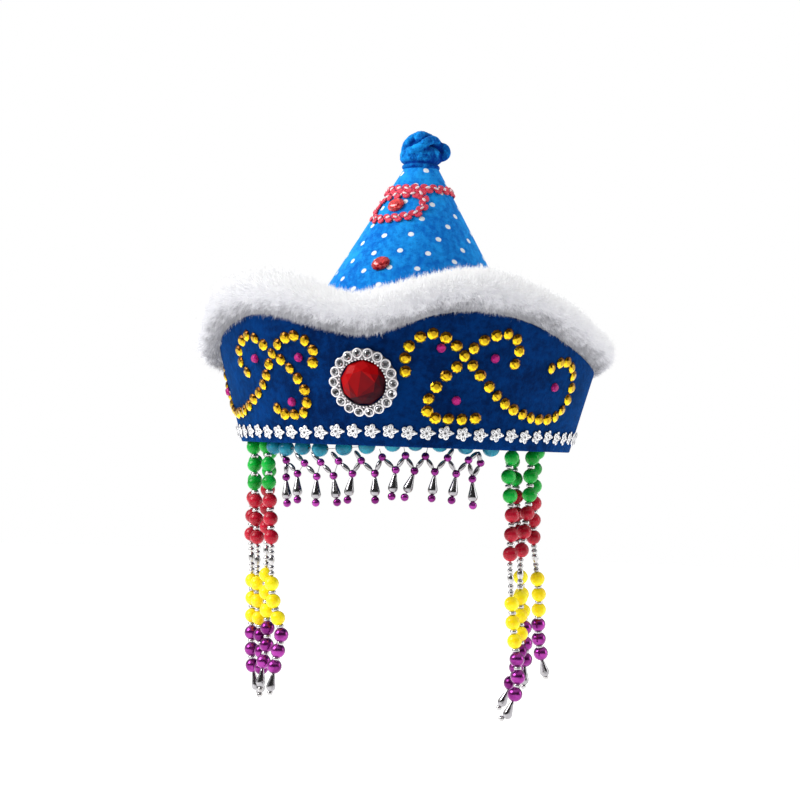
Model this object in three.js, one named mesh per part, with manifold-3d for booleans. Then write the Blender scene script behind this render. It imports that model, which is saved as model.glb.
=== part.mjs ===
import * as THREE from 'three';
import { mergeVertices } from 'three/addons/utils/BufferGeometryUtils.js';
import Module from 'manifold-3d';

// Mongolian headdress. Millimetres, +Z up, the origin in the middle of the head opening.
// A turn is measured in degrees from the front (-Y) towards the wearer's left (+X).

const gap = 0.3;
const aroundSteps = 40;
const beadSides = 9;
// Radius at which a ring's section is laid out before it is moved to its place
const laidOut = 100;

// Turned-up band of blue plush, its top edge rising in a wave above each temple, higher on the right
const band = {
  rimRadius: 90, slope: 0.282, wall: 2.5, seatRise: 0.5, rightHigh: 2, leftLow: 1, sideSteep: 8,
};
const bandEdge = [
  { turn: 0, height: 53.5 },
  { turn: 10, height: 58 },
  { turn: 20, height: 65 },
  { turn: 30, height: 67.6 },
  { turn: 40, height: 66.2 },
  { turn: 50, height: 61.8 },
  { turn: 60, height: 56.2 },
  { turn: 70, height: 50.6 },
  { turn: 80, height: 46 },
  { turn: 95, height: 42 },
  { turn: 120, height: 39 },
  { turn: 180, height: 38 },
];

// White fur rolled over the band's edge, in soft lumps, and thicker at the temples
const fur = { radius: 10.7, sides: 7, lump: 0.05, lumps: 13, templeSwell: 0.14 };

// Pointed crown, standing inside the band on a short upright hem
const crown = { apex: 170.2, halfAngle: 30, top: 153.5, wall: 2, hemBottom: 8, lean: 4 };

// Knot of rolled plush on the crown's top
const knot = {
  height: 21.4, dimple: 1.6, sides: 10, fold: 0.06, folds: 3,
  ear: { radius: 4.6, aside: 10.4, forward: 1, rise: 8.4 },
};
const knotOutline = [
  { rise: 0, radius: 8.8 },
  { rise: 2.6, radius: 10.2 },
  { rise: 5, radius: 8.8 },
  { rise: 9.5, radius: 11.4 },
  { rise: 15, radius: 11.2 },
  { rise: 19.5, radius: 8.2 },
  { rise: 21.4, radius: 4.2 },
];

// Scalloped red lace: a tilted ring round the crown and a loop below it
const lace = { width: 5.5, thickness: 1.2, height: 139.8, tilt: 0.4, tiltTurn: 5, steps: 26, loopSteps: 24 };
const laceLoop = [
  { turn: 3.5, height: 137.3 },
  { turn: -10, height: 137.2 },
  { turn: -24, height: 136.8 },
  { turn: -38, height: 136.2 },
  { turn: -50, height: 135.2 },
  { turn: -57.5, height: 132.4 },
  { turn: -58.5, height: 128.6 },
  { turn: -54, height: 125 },
  { turn: -45, height: 123.3 },
  { turn: -26, height: 122.9 },
  { turn: -6, height: 123.8 },
  { turn: 8, height: 125.4 },
  { turn: 16.5, height: 128.6 },
  { turn: 19.5, height: 133 },
  { turn: 15, height: 137.6 },
];

// Narrow braid of metal flowers along the rim, sewn on a little lower on the left
const braid = { height: 7.6, width: 8.2, thickness: 1.3, leftLow: 1.9, leftFrom: 24 };

// Round red gem in a ring of eighteen small stones at the forehead
const setting = {
  turn: 0.3, height: 32.3, radius: 18.6, bore: 12.7, depth: 4, stones: 18, scallop: 0.7,
  undercut: 1, shoulder: 0.6, lip: 1.2,
};
const gem = { radius: 12.4, table: 7.6, girdle: 3, depth: 7.6, facets: 12 };

// Glued stones: a table over eight facets
const stone = { facets: 8, tableShare: 0.6, crownDepth: 2.6 };
const crownStones = [
  { name: 'crown_gem_upper', turn: -19.8, height: 130.8, length: 9.8, breadth: 8.2, roll: 20 },
  { name: 'crown_gem_lower', turn: -13, height: 97.1, length: 10.5, breadth: 8.4, roll: 20 },
];
const magenta = { length: 4.9, depth: 2.2 };
const magentaStones = [
  { side: 'right', turn: 21.9, height: 50.3 },
  { side: 'right', turn: 38, height: 46.4 },
  { side: 'right', turn: 27.8, height: 24.4 },
  { side: 'right', turn: 62.7, height: 33.8 },
  { side: 'left', turn: -20, height: 43.8 },
  { side: 'left', turn: -37.9, height: 43.4 },
  { side: 'left', turn: -24.8, height: 21.3 },
  { side: 'left', turn: -70.6, height: 27 },
];

// Scrolls of flat gold stones on the band, each a long line crossed by a short one
const scroll = { width: 5.6, thickness: 1.7, step: 7 };
const scrollLines = {
  right: {
    long: [
      [12.2, 38], [12, 44.6], [13, 50.6], [19.4, 57.2], [26.2, 51.6], [31.6, 42.2], [37.7, 32.1],
      [44.1, 23.9], [51.7, 18.8], [59.5, 16.9], [67.6, 18.7], [72.5, 27.9], [71.5, 40.4],
      [66, 47.1], [59.3, 43.3],
    ],
    short: [
      [44.9, 44.1], [45.5, 50.9], [41, 58.9], [34, 55], [28.8, 46.9], [24, 36.5], [19.4, 24.7],
      [19.2, 18.5], [21.8, 15.4], [26, 15.2], [34.7, 15.8],
    ],
  },
  left: {
    long: [
      [-15.5, 41.3], [-15.1, 47.4], [-20.9, 54.7], [-27.3, 50.4], [-32.2, 40.4], [-36.7, 30],
      [-43.7, 22.4], [-51.9, 16.8], [-63.2, 15.6], [-71, 20.2], [-75.8, 30.2], [-80.8, 39.4],
      [-86.5, 40.2], [-90.6, 34.6], [-91.6, 29.2],
    ],
    short: [
      [-44, 36.4], [-46.7, 42], [-45.5, 50.5], [-40.3, 55.2], [-33.2, 50.3], [-27, 42.7],
      [-21.5, 33.2], [-19.3, 20.9], [-21, 16.4], [-24.7, 15.2], [-31.8, 17.8],
    ],
  },
};

// Turquoise beads hanging just inside the rim, with a net of metal beads and drops below
const turquoise = {
  bead: 4, flat: 1.75, radius: 83, thread: 0.9, samples: 1200,
  endSide: 87, endTurn: 3.4, firstEnd: 3.2, lastEnd: 5.2,
};
const turquoiseBeads = [
  { turn: -43.6, height: -2.2 },
  { turn: -35.8, height: -2.9 },
  { turn: -27.1, height: -2 },
  { turn: -19.1, height: -2.5 },
  { turn: -9.4, height: -1.5 },
  { turn: -0.8, height: -0.3 },
  { turn: 8.4, height: 1.3 },
  { turn: 16.5, height: 2.1 },
  { turn: 25.2, height: 2 },
  { turn: 34.8, height: 1.3 },
  { turn: 45.2, height: 0.5 },
];
const net = {
  radius: 82.4, bar: 1.1, barWidth: 1.43, prong: 0.7, prongFoot: 1.4, hook: 2.2, knee: 2.4,
};
const netDrop = {
  length: 14, radius: 2.6, neck: 1, neckDown: 2.2, neckLean: 0.1, belly: 0.7,
  swell: 0.9, swellFrom: 17, swellTo: 23,
};
const netCrossings = [
  { turn: -35.2, height: -9.8 },
  { turn: -26.3, height: -10.2 },
  { turn: -18.9, height: -9.4 },
  { turn: -11.5, height: -8.4 },
  { turn: -2.8, height: -7.7 },
  { turn: 4.8, height: -5.6 },
  { turn: 13.1, height: -4.4 },
  { turn: 20.2, height: -4.4 },
  { turn: 28.3, height: -4.8 },
  { turn: 36.3, height: -5.6, hookAside: -0.8 },
  { turn: 41.2, height: -6.9, hookAside: 0.55 },
];
const netDrops = [
  { turn: -37, height: -17.9, lean: 3.6 },
  { turn: -29.6, height: -15.8, lean: 0.6 },
  { turn: -20.4, height: -16.9, lean: 0 },
  { turn: -13.3, height: -16.1, lean: 2.6 },
  { turn: -5.9, height: -14.6, lean: -2.2 },
  { turn: 2.4, height: -14.1, lean: 0.6 },
  { turn: 9.8, height: -11.9, lean: -1.6 },
  { turn: 16.5, height: -12.1, lean: -4.6 },
  { turn: 23.8, height: -12.2, lean: -1.2 },
  { turn: 31.7, height: -12.9, lean: -2 },
  { turn: 38.1, height: -15.3, lean: 0.8 },
];

// Four long strands at each temple. Each bead's place is its distance below the top bead
const strand = {
  bead: 3.95, flat: 1.75, neck: 1.6, thread: 0.9, topSide: 87.2, topHeight: 5.4,
  bareThread: 0.5, shortestLead: 4.95,
};
const upperBeads = [0, 10.1, 20.2, 30.3, 40.4, 50.5];
const lowerBeads = [76.3, 86, 95.7, 105.2, 114.3, 123.4];
const connector = [
  { down: 54.6, radius: 1.5 },
  { down: 63.4, radius: 1.8 },
  { down: 72.2, radius: 1.5 },
];
const strandEnd = [
  { down: 127.4, radius: 1.2 },
  { down: 134.4, radius: 2.9 },
  { down: 136.8, radius: 1.2 },
  { down: 138.5, radius: 1.8 },
  { down: 140.1, radius: 0.9 },
];
// aside is towards +X and back towards +Y, both at a distance below the top bead
const strands = [
  {
    name: 'strand_left_1', turn: -50.2, radius: 83, head: -2.1, spacing: 0.96,
    sway: [
      { down: 0, aside: 0, back: 0 },
      { down: 22, aside: 2.3, back: 0 },
      { down: 50, aside: 4.6, back: 0 },
      { down: 80, aside: 6.5, back: 0 },
      { down: 100, aside: 12, back: 0 },
      { down: 112, aside: 9.3, back: 1 },
      { down: 140, aside: 4.8, back: 3 },
    ],
  },
  {
    name: 'strand_left_2', turn: -56, radius: 80.5, head: 4, spacing: 0.99,
    sway: [
      { down: 0, aside: 0.5, back: 0 },
      { down: 40, aside: 2, back: 0 },
      { down: 80, aside: 3.2, back: 0 },
      { down: 110, aside: 4.8, back: 0 },
      { down: 124, aside: 2.9, back: 0 },
      { down: 144, aside: 1.4, back: 1 },
    ],
  },
  {
    name: 'strand_left_3', turn: -63, radius: 83, head: -2.9, spacing: 0.965,
    sway: [
      { down: 0, aside: -1.6, back: 0 },
      { down: 20, aside: -0.4, back: 0 },
      { down: 50, aside: 2.2, back: 0 },
      { down: 80, aside: 3.6, back: 0 },
      { down: 112, aside: 7, back: 0 },
      { down: 142, aside: 6.6, back: 0 },
    ],
  },
  {
    name: 'strand_left_4', turn: -70, radius: 83.2, head: -1, spacing: 0.98,
    sway: [
      { down: 0, aside: 0, back: 0 },
      { down: 50, aside: 0.2, back: 0 },
      { down: 80, aside: 1.9, back: 0 },
      { down: 122, aside: 3.8, back: 0 },
      { down: 143, aside: 9.4, back: 4 },
    ],
  },
  {
    name: 'strand_right_1', turn: 55, radius: 83, head: -3.6, spacing: 1,
    sway: [
      { down: 0, aside: 0, back: 0 },
      { down: 10, aside: -1.4, back: 0 },
      { down: 31, aside: 1.2, back: 0 },
      { down: 52, aside: 0.9, back: 0 },
      { down: 88, aside: 3.7, back: 0 },
      { down: 114, aside: 7.1, back: 0 },
      { down: 126, aside: 4.8, back: 0 },
      { down: 133, aside: 1.2, back: 1 },
      { down: 141, aside: -6.4, back: 2 },
    ],
  },
  {
    name: 'strand_right_2', turn: 66.9, radius: 83, head: -3.4, spacing: 0.97,
    sway: [
      { down: 0, aside: 0, back: 0 },
      { down: 22, aside: -1, back: 0 },
      { down: 50, aside: -4, back: -1.5 },
      { down: 76, aside: -3.6, back: -2 },
      { down: 102, aside: -3, back: -2 },
      { down: 118, aside: -7, back: -1 },
      { down: 140, aside: -17, back: 0 },
    ],
  },
  {
    name: 'strand_right_3', turn: 70, radius: 71, head: 3, spacing: 0.93,
    sway: [
      { down: 0, aside: -2, back: 0 },
      { down: 20, aside: -0.2, back: 0 },
      { down: 45, aside: 1.6, back: 0 },
      { down: 76, aside: 4.6, back: 0 },
      { down: 106, aside: 7.6, back: 1 },
      { down: 136, aside: 7, back: 2 },
    ],
  },
  {
    name: 'strand_right_4', turn: 73, radius: 80, head: -0.5, spacing: 0.9,
    sway: [
      { down: 0, aside: 1, back: 0 },
      { down: 26, aside: 0, back: 1 },
      { down: 46, aside: -0.2, back: 3 },
      { down: 76, aside: 2.4, back: 11 },
      { down: 100, aside: 2, back: 18 },
      { down: 126, aside: 6.6, back: 25 },
    ],
  },
];

const bluePlush = { color: 0x0b3f8c, roughness: 0.9 };
const azurePlush = { color: 0x1a76d0, roughness: 0.85 };
const whiteFur = { color: 0xf2f2f0, roughness: 1 };
const redLace = { color: 0xc81e34, roughness: 0.8 };
const silverMetal = { color: 0xd0d0d4, roughness: 0.2, metalness: 1 };
const goldStone = { color: 0xd9a514, roughness: 0.2, metalness: 1 };
const redGlass = { color: 0xc00d1c, roughness: 0.1 };
const magentaGlass = { color: 0xa0106a, roughness: 0.15 };
const turquoiseGlass = { color: 0x1d8fa6, roughness: 0.25 };
const beadPlastic = { color: 0x1fa43c, roughness: 0.3 };

const wasm = await Module();
wasm.setup();

const rad = THREE.MathUtils.degToRad;
const coneSlope = Math.tan(rad(crown.halfAngle));
const crownHemOuter = bandRadius(crown.hemBottom) - band.wall - gap;
const crownHemTop = crown.apex - crownHemOuter / coneSlope;

function bandRadius(height) {
  return band.rimRadius + band.slope * height;
}

function crownRadius(height) {
  return coneSlope * (crown.apex - height);
}

// The crown leans a little to the wearer's left above its hem
function leanAt(height) {
  return crown.lean * Math.max(0, height - crownHemTop) / (crown.apex - crownHemTop);
}

function spot(turn, radius, height) {
  return new THREE.Vector3(radius * Math.sin(rad(turn)), -radius * Math.cos(rad(turn)), height);
}

// Height of a wavy edge at a turn, between the rows of its table
function edgeHeight(rows, turn) {
  const away = Math.abs(THREE.MathUtils.euclideanModulo(turn + 180, 360) - 180);
  const next = Math.max(1, rows.findIndex((row) => row.turn >= away));
  const from = rows[next - 1];
  const to = rows[next];
  const share = (away - from.turn) / (to.turn - from.turn);
  const side = band.sideSteep * Math.sin(rad(turn));
  return THREE.MathUtils.lerp(from.height, to.height, share)
    + THREE.MathUtils.clamp(side, -band.leftLow, band.rightHigh);
}

// A point and the directions on the band or the crown, with the normal pointing out
function seatOn(surface, turn, height, lift) {
  const onBand = surface === 'band';
  const tilt = onBand ? -Math.atan(band.slope) : rad(crown.halfAngle);
  const out = spot(turn, Math.cos(tilt), Math.sin(tilt));
  const along = new THREE.Vector3(Math.cos(rad(turn)), Math.sin(rad(turn)), 0);
  const point = spot(turn, onBand ? bandRadius(height) : crownRadius(height), height);
  point.x += onBand ? 0 : leanAt(height);
  return { point: point.addScaledVector(out, lift), along, out, up: out.clone().cross(along) };
}

// One closed skin: shared corners joined, and triangles without area dropped
function weld(geometry) {
  const bare = geometry.clone();
  bare.deleteAttribute('normal');
  bare.deleteAttribute('uv');
  const joined = mergeVertices(bare, 1e-3);
  const corners = joined.index.array;
  const kept = [];
  for (let i = 0; i < corners.length; i += 3) {
    const [a, b, c] = [corners[i], corners[i + 1], corners[i + 2]];
    if (a !== b && b !== c && c !== a) kept.push(a, b, c);
  }
  joined.setIndex(kept);
  joined.computeVertexNormals();
  return joined;
}

function joinAll(geometries) {
  const solids = geometries.map((geometry) => {
    const skin = weld(geometry);
    return new wasm.Manifold(new wasm.Mesh({
      numProp: 3,
      vertProperties: new Float32Array(skin.attributes.position.array),
      triVerts: new Uint32Array(skin.index.array),
    }));
  });
  const whole = solids.reduce((sum, solid) => sum.add(solid)).getMesh();
  const geometry = new THREE.BufferGeometry();
  geometry.setAttribute('position', new THREE.BufferAttribute(whole.vertProperties, 3));
  geometry.setIndex(new THREE.BufferAttribute(whole.triVerts, 1));
  return geometry;
}

// A profile of radius and height turned about +Z, then reshaped at each turn
function turned(profile, steps, reshape) {
  const points = profile.map(([radius, height]) => new THREE.Vector2(radius, height));
  const geometry = new THREE.LatheGeometry(points, steps).rotateX(Math.PI / 2);
  const position = geometry.attributes.position;
  for (let i = 0; reshape && i < position.count; i += 1) {
    const at = new THREE.Vector3().fromBufferAttribute(position, i);
    const turn = THREE.MathUtils.radToDeg(Math.atan2(at.x, -at.y));
    const moved = reshape(turn, Math.hypot(at.x, at.y), at.z);
    position.setXYZ(i, moved.x, moved.y, moved.z);
  }
  return weld(geometry);
}

// Round beads turned about a straight line, then bent so that the line follows a route
function beaded(route, profile, across) {
  const points = profile.map(([down, radius]) => new THREE.Vector2(radius, down));
  const geometry = new THREE.LatheGeometry(points, beadSides);
  const position = geometry.attributes.position;
  const length = route.getLength();
  for (let i = 0; i < position.count; i += 1) {
    const share = Math.min(1, position.getY(i) / length);
    const ahead = route.getTangentAt(share);
    const side = across.clone().cross(ahead).normalize();
    const over = side.clone().cross(ahead);
    const at = route.getPointAt(share);
    at.addScaledVector(side, position.getX(i)).addScaledVector(over, position.getZ(i));
    position.setXYZ(i, at.x, at.y, at.z);
  }
  return weld(geometry);
}

function brimBand() {
  const profile = [[0, 0], [band.wall, 0], [band.wall, 1], [0, 1], [0, 0]];
  const inner = band.rimRadius - band.wall;
  return turned(profile.map(([across, rise]) => [inner + across, rise]), aroundSteps,
    (turn, radius, rise) => {
      const height = rise * (edgeHeight(bandEdge, turn) + band.seatRise);
      return spot(turn, radius + band.slope * height, height);
    });
}

// The roll has a flat underside where it sits on the band's edge
function furTrim() {
  const profile = [];
  for (let side = 0; side <= fur.sides; side += 1) {
    const angle = -Math.PI / 2 + ((side + 0.5) / fur.sides) * Math.PI * 2;
    profile.push([laidOut + fur.radius * Math.cos(angle), fur.radius * Math.sin(angle)]);
  }
  const flat = fur.radius * Math.cos(Math.PI / fur.sides);
  return turned(profile, aroundSteps, (turn, radius, rise) => {
    const seat = edgeHeight(bandEdge, turn) + band.seatRise + gap;
    const onSeat = rise < -flat * 0.9;
    const lump = onSeat ? 1 : 1 + fur.lump * Math.sin(rad(turn) * fur.lumps);
    const swell = 1 + fur.templeSwell * Math.sin(rad(turn)) ** 2;
    const out = (radius - laidOut) * lump * swell;
    return spot(turn, bandRadius(seat) - band.wall / 2 + out, seat + (flat + rise * lump) * swell);
  });
}

function crownCone() {
  const inset = crown.wall / Math.cos(rad(crown.halfAngle));
  const hemInner = crownHemOuter - crown.wall;
  const topInside = crown.top - crown.wall;
  const profile = [
    [0, topInside],
    [crownRadius(topInside) - inset, topInside],
    [hemInner, crown.apex - (hemInner + inset) / coneSlope],
    [hemInner, crown.hemBottom],
    [crownHemOuter, crown.hemBottom],
    [crownHemOuter, crownHemTop],
    [crownRadius(crown.top), crown.top],
    [0, crown.top],
  ];
  return turned(profile, aroundSteps, (turn, radius, height) => {
    const at = spot(turn, radius, height);
    at.x += leanAt(height);
    return at;
  });
}

// Rolled folds climb round the knot, and one fold stands out as an ear
function crownKnot() {
  const foot = crown.top + gap;
  const profile = [
    [0, 0],
    ...knotOutline.map((row) => [row.radius, row.rise]),
    [0, knot.height - knot.dimple],
  ];
  const shift = leanAt(foot);
  const body = turned(profile, knot.sides, (turn, radius, rise) => {
    const spiral = Math.sin(rad(knot.folds * turn) + rise * 0.4);
    const fold = rise > 0 ? 1 + knot.fold * spiral : 1;
    const at = spot(turn, radius * fold, foot + rise);
    at.x += shift;
    return at;
  });
  const ear = new THREE.SphereGeometry(knot.ear.radius, 8, 5).scale(1, 0.8, 0.9);
  ear.translate(shift + knot.ear.aside, -knot.ear.forward, foot + knot.ear.rise);
  return joinAll([body, ear]);
}

function laceHeight(turn) {
  return lace.height + lace.tilt * Math.sin(rad(turn - lace.tiltTurn));
}

// A flat strip laid on the band or the crown: its section is carried along a line of turns and heights
function stripOn(surface, line, { width, thickness }) {
  const half = width / 2;
  const section = [[-half, gap], [half, gap], [half, gap + thickness], [-half, gap + thickness]];
  const corners = [];
  const faces = [];
  line.forEach((here, step) => {
    const before = line[Math.max(0, step - 1)];
    const after = line[Math.min(line.length - 1, step + 1)];
    const seat = seatOn(surface, here.x, here.y, 0);
    const ahead = seatOn(surface, after.x, after.y, 0).point
      .sub(seatOn(surface, before.x, before.y, 0).point).normalize();
    const across = seat.out.clone().cross(ahead).normalize();
    section.forEach(([aside, lift]) => {
      const at = seat.point.clone().addScaledVector(across, aside).addScaledVector(seat.out, lift);
      corners.push(at.x, at.y, at.z);
    });
    for (let side = 0; step > 0 && side < 4; side += 1) {
      const [a, b] = [4 * step + side, 4 * step + (side + 1) % 4];
      faces.push(a, a - 4, b - 4, a, b - 4, b);
    }
  });
  const last = corners.length / 3 - 4;
  faces.push(0, 2, 1, 0, 3, 2, last, last + 1, last + 2, last, last + 2, last + 3);
  const geometry = new THREE.BufferGeometry();
  geometry.setAttribute('position', new THREE.Float32BufferAttribute(corners, 3));
  geometry.setIndex(faces);
  return geometry;
}

function crownLace() {
  const half = lace.width / 2 * Math.cos(rad(crown.halfAngle));
  const inner = gap / Math.cos(rad(crown.halfAngle));
  const outer = (gap + lace.thickness) / Math.cos(rad(crown.halfAngle));
  const ring = turned([[inner, -half], [outer, -half], [outer, half], [inner, half], [inner, -half]]
    .map(([lift, rise]) => [laidOut + lift, rise]), lace.steps, (turn, radius, rise) => {
    const height = laceHeight(turn) + rise;
    const at = spot(turn, crownRadius(height) + radius - laidOut, height);
    at.x += leanAt(height);
    return at;
  });
  const loop = new THREE.SplineCurve(laceLoop.map((row) => new THREE.Vector2(row.turn, row.height)));
  return joinAll([ring, stripOn('crown', loop.getPoints(lace.loopSteps), lace)]);
}

function flowerBraid() {
  const inner = gap;
  const outer = gap + braid.thickness;
  const half = braid.width / 2;
  return turned([[inner, -half], [outer, -half], [outer, half], [inner, half], [inner, -half]]
    .map(([lift, rise]) => [band.rimRadius + lift, rise]), aroundSteps, (turn, radius, rise) => {
    const left = Math.sin(rad(-turn)) / Math.sin(rad(braid.leftFrom));
    const height = braid.height - braid.leftLow * Math.min(1, Math.max(0, left)) + rise;
    return spot(turn, radius + band.slope * height, height);
  });
}

// The ring's outer edge bulges round each of its small stones
function frontSetting() {
  const profile = [
    [setting.bore, 0],
    [setting.radius - setting.undercut, 0],
    [setting.radius, setting.depth * setting.shoulder],
    [setting.bore + setting.lip, setting.depth],
    [setting.bore, 0],
  ];
  return turned(profile, setting.stones * 2, (turn, radius, rise) => {
    const bulge = Math.cos(rad(turn * setting.stones)) * setting.scallop;
    const onEdge = radius > setting.bore + 2 * setting.lip;
    return spot(turn, onEdge ? radius + bulge : radius, rise);
  });
}

function frontGem() {
  return turned([[0, 0], [gem.radius, 0], [gem.radius, gem.girdle], [gem.table, gem.depth], [0, gem.depth]],
    gem.facets);
}

function cutStone(length, breadth, depth) {
  const cut = turned([[0, 0], [0.5, 0], [0.5 * stone.tableShare, depth], [0, depth]], stone.facets);
  return cut.scale(length, breadth, 1);
}

function goldScroll({ long, short }) {
  return joinAll([long, short].map((line) => {
    const route = new THREE.SplineCurve(line.map(([turn, height]) => new THREE.Vector2(turn, height)));
    const steps = Math.round(route.getLength() / scroll.step * band.rimRadius * rad(1));
    return stripOn('band', route.getSpacedPoints(steps), scroll);
  }));
}

function turquoiseString() {
  const places = turquoiseBeads.map((row) => spot(row.turn, turquoise.radius, row.height));
  const { endSide, endTurn, firstEnd, lastEnd } = turquoise;
  const first = spot(turquoiseBeads[0].turn - endTurn, endSide, firstEnd);
  const last = spot(turquoiseBeads.at(-1).turn + endTurn, endSide, lastEnd);
  const route = new THREE.CatmullRomCurve3([first, ...places, last], false, 'centripetal');
  const length = route.getLength();
  const lengths = route.getLengths(turquoise.samples);
  const distanceAt = (index) =>
    lengths[Math.round((index / (places.length + 1)) * turquoise.samples)];
  const profile = [[0, 0], [0, turquoise.thread]];
  places.forEach((place, index) => {
    const middle = distanceAt(index + 1);
    if (index > 0) profile.push([(distanceAt(index) + middle) / 2, turquoise.thread]);
    profile.push([middle - turquoise.flat, turquoise.bead], [middle + turquoise.flat, turquoise.bead]);
  });
  profile.push([length, turquoise.thread], [length, 0]);
  return beaded(route, profile, new THREE.Vector3(0, 0, 1));
}

// Two rows of corners, one on each side of a zigzag line
function sidesOf(line, half) {
  return line.map((at, index) => {
    const before = line[Math.max(0, index - 1)];
    const after = line[Math.min(line.length - 1, index + 1)];
    const ahead = after.clone().sub(before).normalize();
    const over = new THREE.Vector2(-ahead.y, ahead.x).multiplyScalar(half);
    return [at.clone().add(over), at.clone().sub(over)];
  });
}

// The flat outline of the net: a zigzag, prongs up to the string and drops hanging down
function netOutline() {
  const flat = (turn, height) => new THREE.Vector2(rad(turn) * net.radius, height);
  const line = netDrops.flatMap((drop, index) => [
    flat(drop.turn, drop.height), flat(netCrossings[index].turn, netCrossings[index].height),
  ]);
  const upper = [];
  const lower = [];
  sidesOf(line, net.barWidth).forEach(([over, under], index) => {
    const row = Math.floor(index / 2);
    const at = line[index];
    const isDrop = index % 2 === 0;
    if (isDrop) {
      const { neck, radius: wide, length: long, neckDown, neckLean, belly } = netDrop;
      const lean = netDrops[row].lean;
      upper.push(over);
      [[-neck, neckDown, neckLean], [-wide, long * belly, belly], [-neck, long, 1], [neck, long, 1],
        [wide, long * belly, belly], [neck, neckDown, neckLean]].forEach(([aside, down, share]) =>
        lower.push(new THREE.Vector2(at.x + aside + lean * share, at.y - down)));
      return;
    }
    const { turn, hookHeight } = netHook(row);
    const hook = flat(turn, hookHeight);
    const knee = Math.max(hookHeight - net.knee, at.y + net.knee);
    const prong = [[at.x, at.y + net.prongFoot], [hook.x, knee], [hook.x, hookHeight]];
    prong.forEach(([x, y]) => upper.push(new THREE.Vector2(x - net.prong, y)));
    prong.reverse().forEach(([x, y]) => upper.push(new THREE.Vector2(x + net.prong, y)));
    lower.push(under);
  });
  return new THREE.Shape([...upper, ...lower.reverse()]);
}

// Each prong hooks on the string midway between two turquoise beads
function netHook(row) {
  const left = turquoiseBeads[Math.min(row, turquoiseBeads.length - 2)];
  const right = turquoiseBeads[Math.min(row, turquoiseBeads.length - 2) + 1];
  const turn = (left.turn + right.turn) / 2 + (netCrossings[row].hookAside ?? 0);
  return { turn, hookHeight: (left.height + right.height) / 2 - net.hook };
}

// The flat net is bent round the head, and its drops are thickened where they are wide
function foreheadNet() {
  const depth = net.bar * 2;
  const geometry = new THREE.ExtrudeGeometry(netOutline(), { depth, bevelEnabled: false });
  const position = geometry.attributes.position;
  for (let i = 0; i < position.count; i += 1) {
    const turn = THREE.MathUtils.radToDeg(position.getX(i) / net.radius);
    const height = position.getY(i);
    const belly = THREE.MathUtils.smoothstep(-height, netDrop.swellFrom, netDrop.swellTo);
    const swell = 1 + netDrop.swell * belly;
    const out = (position.getZ(i) - net.bar) * swell;
    const at = spot(turn, net.radius + out, height);
    position.setXYZ(i, at.x, at.y, at.z);
  }
  return weld(geometry);
}

// Thread, beads, metal connector, beads and the drop, as radius against distance
function strandProfile(lead, spacing) {
  const threadEnd = lead - strand.bead - strand.bareThread;
  const profile = [[0, 0], [0, strand.thread], [threadEnd, strand.thread]];
  const addBeads = (places) => places.forEach((down, index) => {
    const middle = lead + down * spacing;
    if (index > 0) profile.push([lead + (places[index - 1] + down) / 2 * spacing, strand.neck]);
    profile.push([middle - strand.flat, strand.bead], [middle + strand.flat, strand.bead]);
  });
  const addRows = (rows) => rows.forEach((row) => profile.push([lead + row.down * spacing, row.radius]));
  addBeads(upperBeads);
  addRows(connector);
  addBeads(lowerBeads);
  addRows(strandEnd);
  profile.push([lead + strandEnd.at(-1).down * spacing, 0]);
  return profile;
}

function beadStrand({ turn, radius, head, spacing, sway }) {
  const top = spot(turn, strand.topSide, strand.topHeight);
  const hang = spot(turn, radius, head);
  const places = sway.map(({ down, aside, back }) =>
    hang.clone().add(new THREE.Vector3(aside, back, -down)));
  const lead = Math.max(top.distanceTo(places[0]), strand.shortestLead);
  const route = new THREE.CatmullRomCurve3([top, ...places], false, 'centripetal');
  return beaded(route, strandProfile(lead, spacing), new THREE.Vector3(0, 1, 0));
}

const headdress = new THREE.Group();

function addPiece(name, geometry, look, seat) {
  const piece = new THREE.Mesh(geometry, new THREE.MeshStandardMaterial(look));
  piece.name = name;
  if (seat) {
    const basis = new THREE.Matrix4().makeBasis(seat.along, seat.up, seat.out);
    piece.quaternion.setFromRotationMatrix(basis);
    piece.position.copy(seat.point);
  }
  headdress.add(piece);
}

addPiece('crown_cone', crownCone(), azurePlush);
addPiece('crown_knot', crownKnot(), bluePlush);
addPiece('crown_lace', crownLace(), redLace);
crownStones.forEach(({ name, turn, height, length, breadth, roll }) => {
  const cut = cutStone(length, breadth, stone.crownDepth).rotateZ(rad(roll));
  addPiece(name, cut, redGlass, seatOn('crown', turn, height, gap));
});

addPiece('brim_band', brimBand(), bluePlush);
addPiece('fur_trim', furTrim(), whiteFur);
addPiece('flower_braid', flowerBraid(), silverMetal);
addPiece('front_setting', frontSetting(), silverMetal, seatOn('band', setting.turn, setting.height, gap));
addPiece('front_gem', frontGem(), redGlass, seatOn('band', setting.turn, setting.height, gap));
Object.entries(scrollLines).forEach(([side, lines]) => {
  addPiece(`gold_scroll_${side}`, goldScroll(lines), goldStone);
});
magentaStones.forEach(({ side, turn, height }, index) => {
  const number = index % 4 + 1;
  const cut = cutStone(magenta.length, magenta.length, magenta.depth);
  addPiece(`magenta_stone_${side}_${number}`, cut, magentaGlass, seatOn('band', turn, height, gap));
});

addPiece('turquoise_string', turquoiseString(), turquoiseGlass);
addPiece('forehead_net', foreheadNet(), silverMetal);
strands.forEach((row) => addPiece(row.name, beadStrand(row), beadPlastic));

export default headdress;
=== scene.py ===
from math import acos, atan, atan2, cos, degrees, hypot, pi, radians, sin, tan

import bpy
import numpy as np
from mathutils import Matrix, Vector


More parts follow.
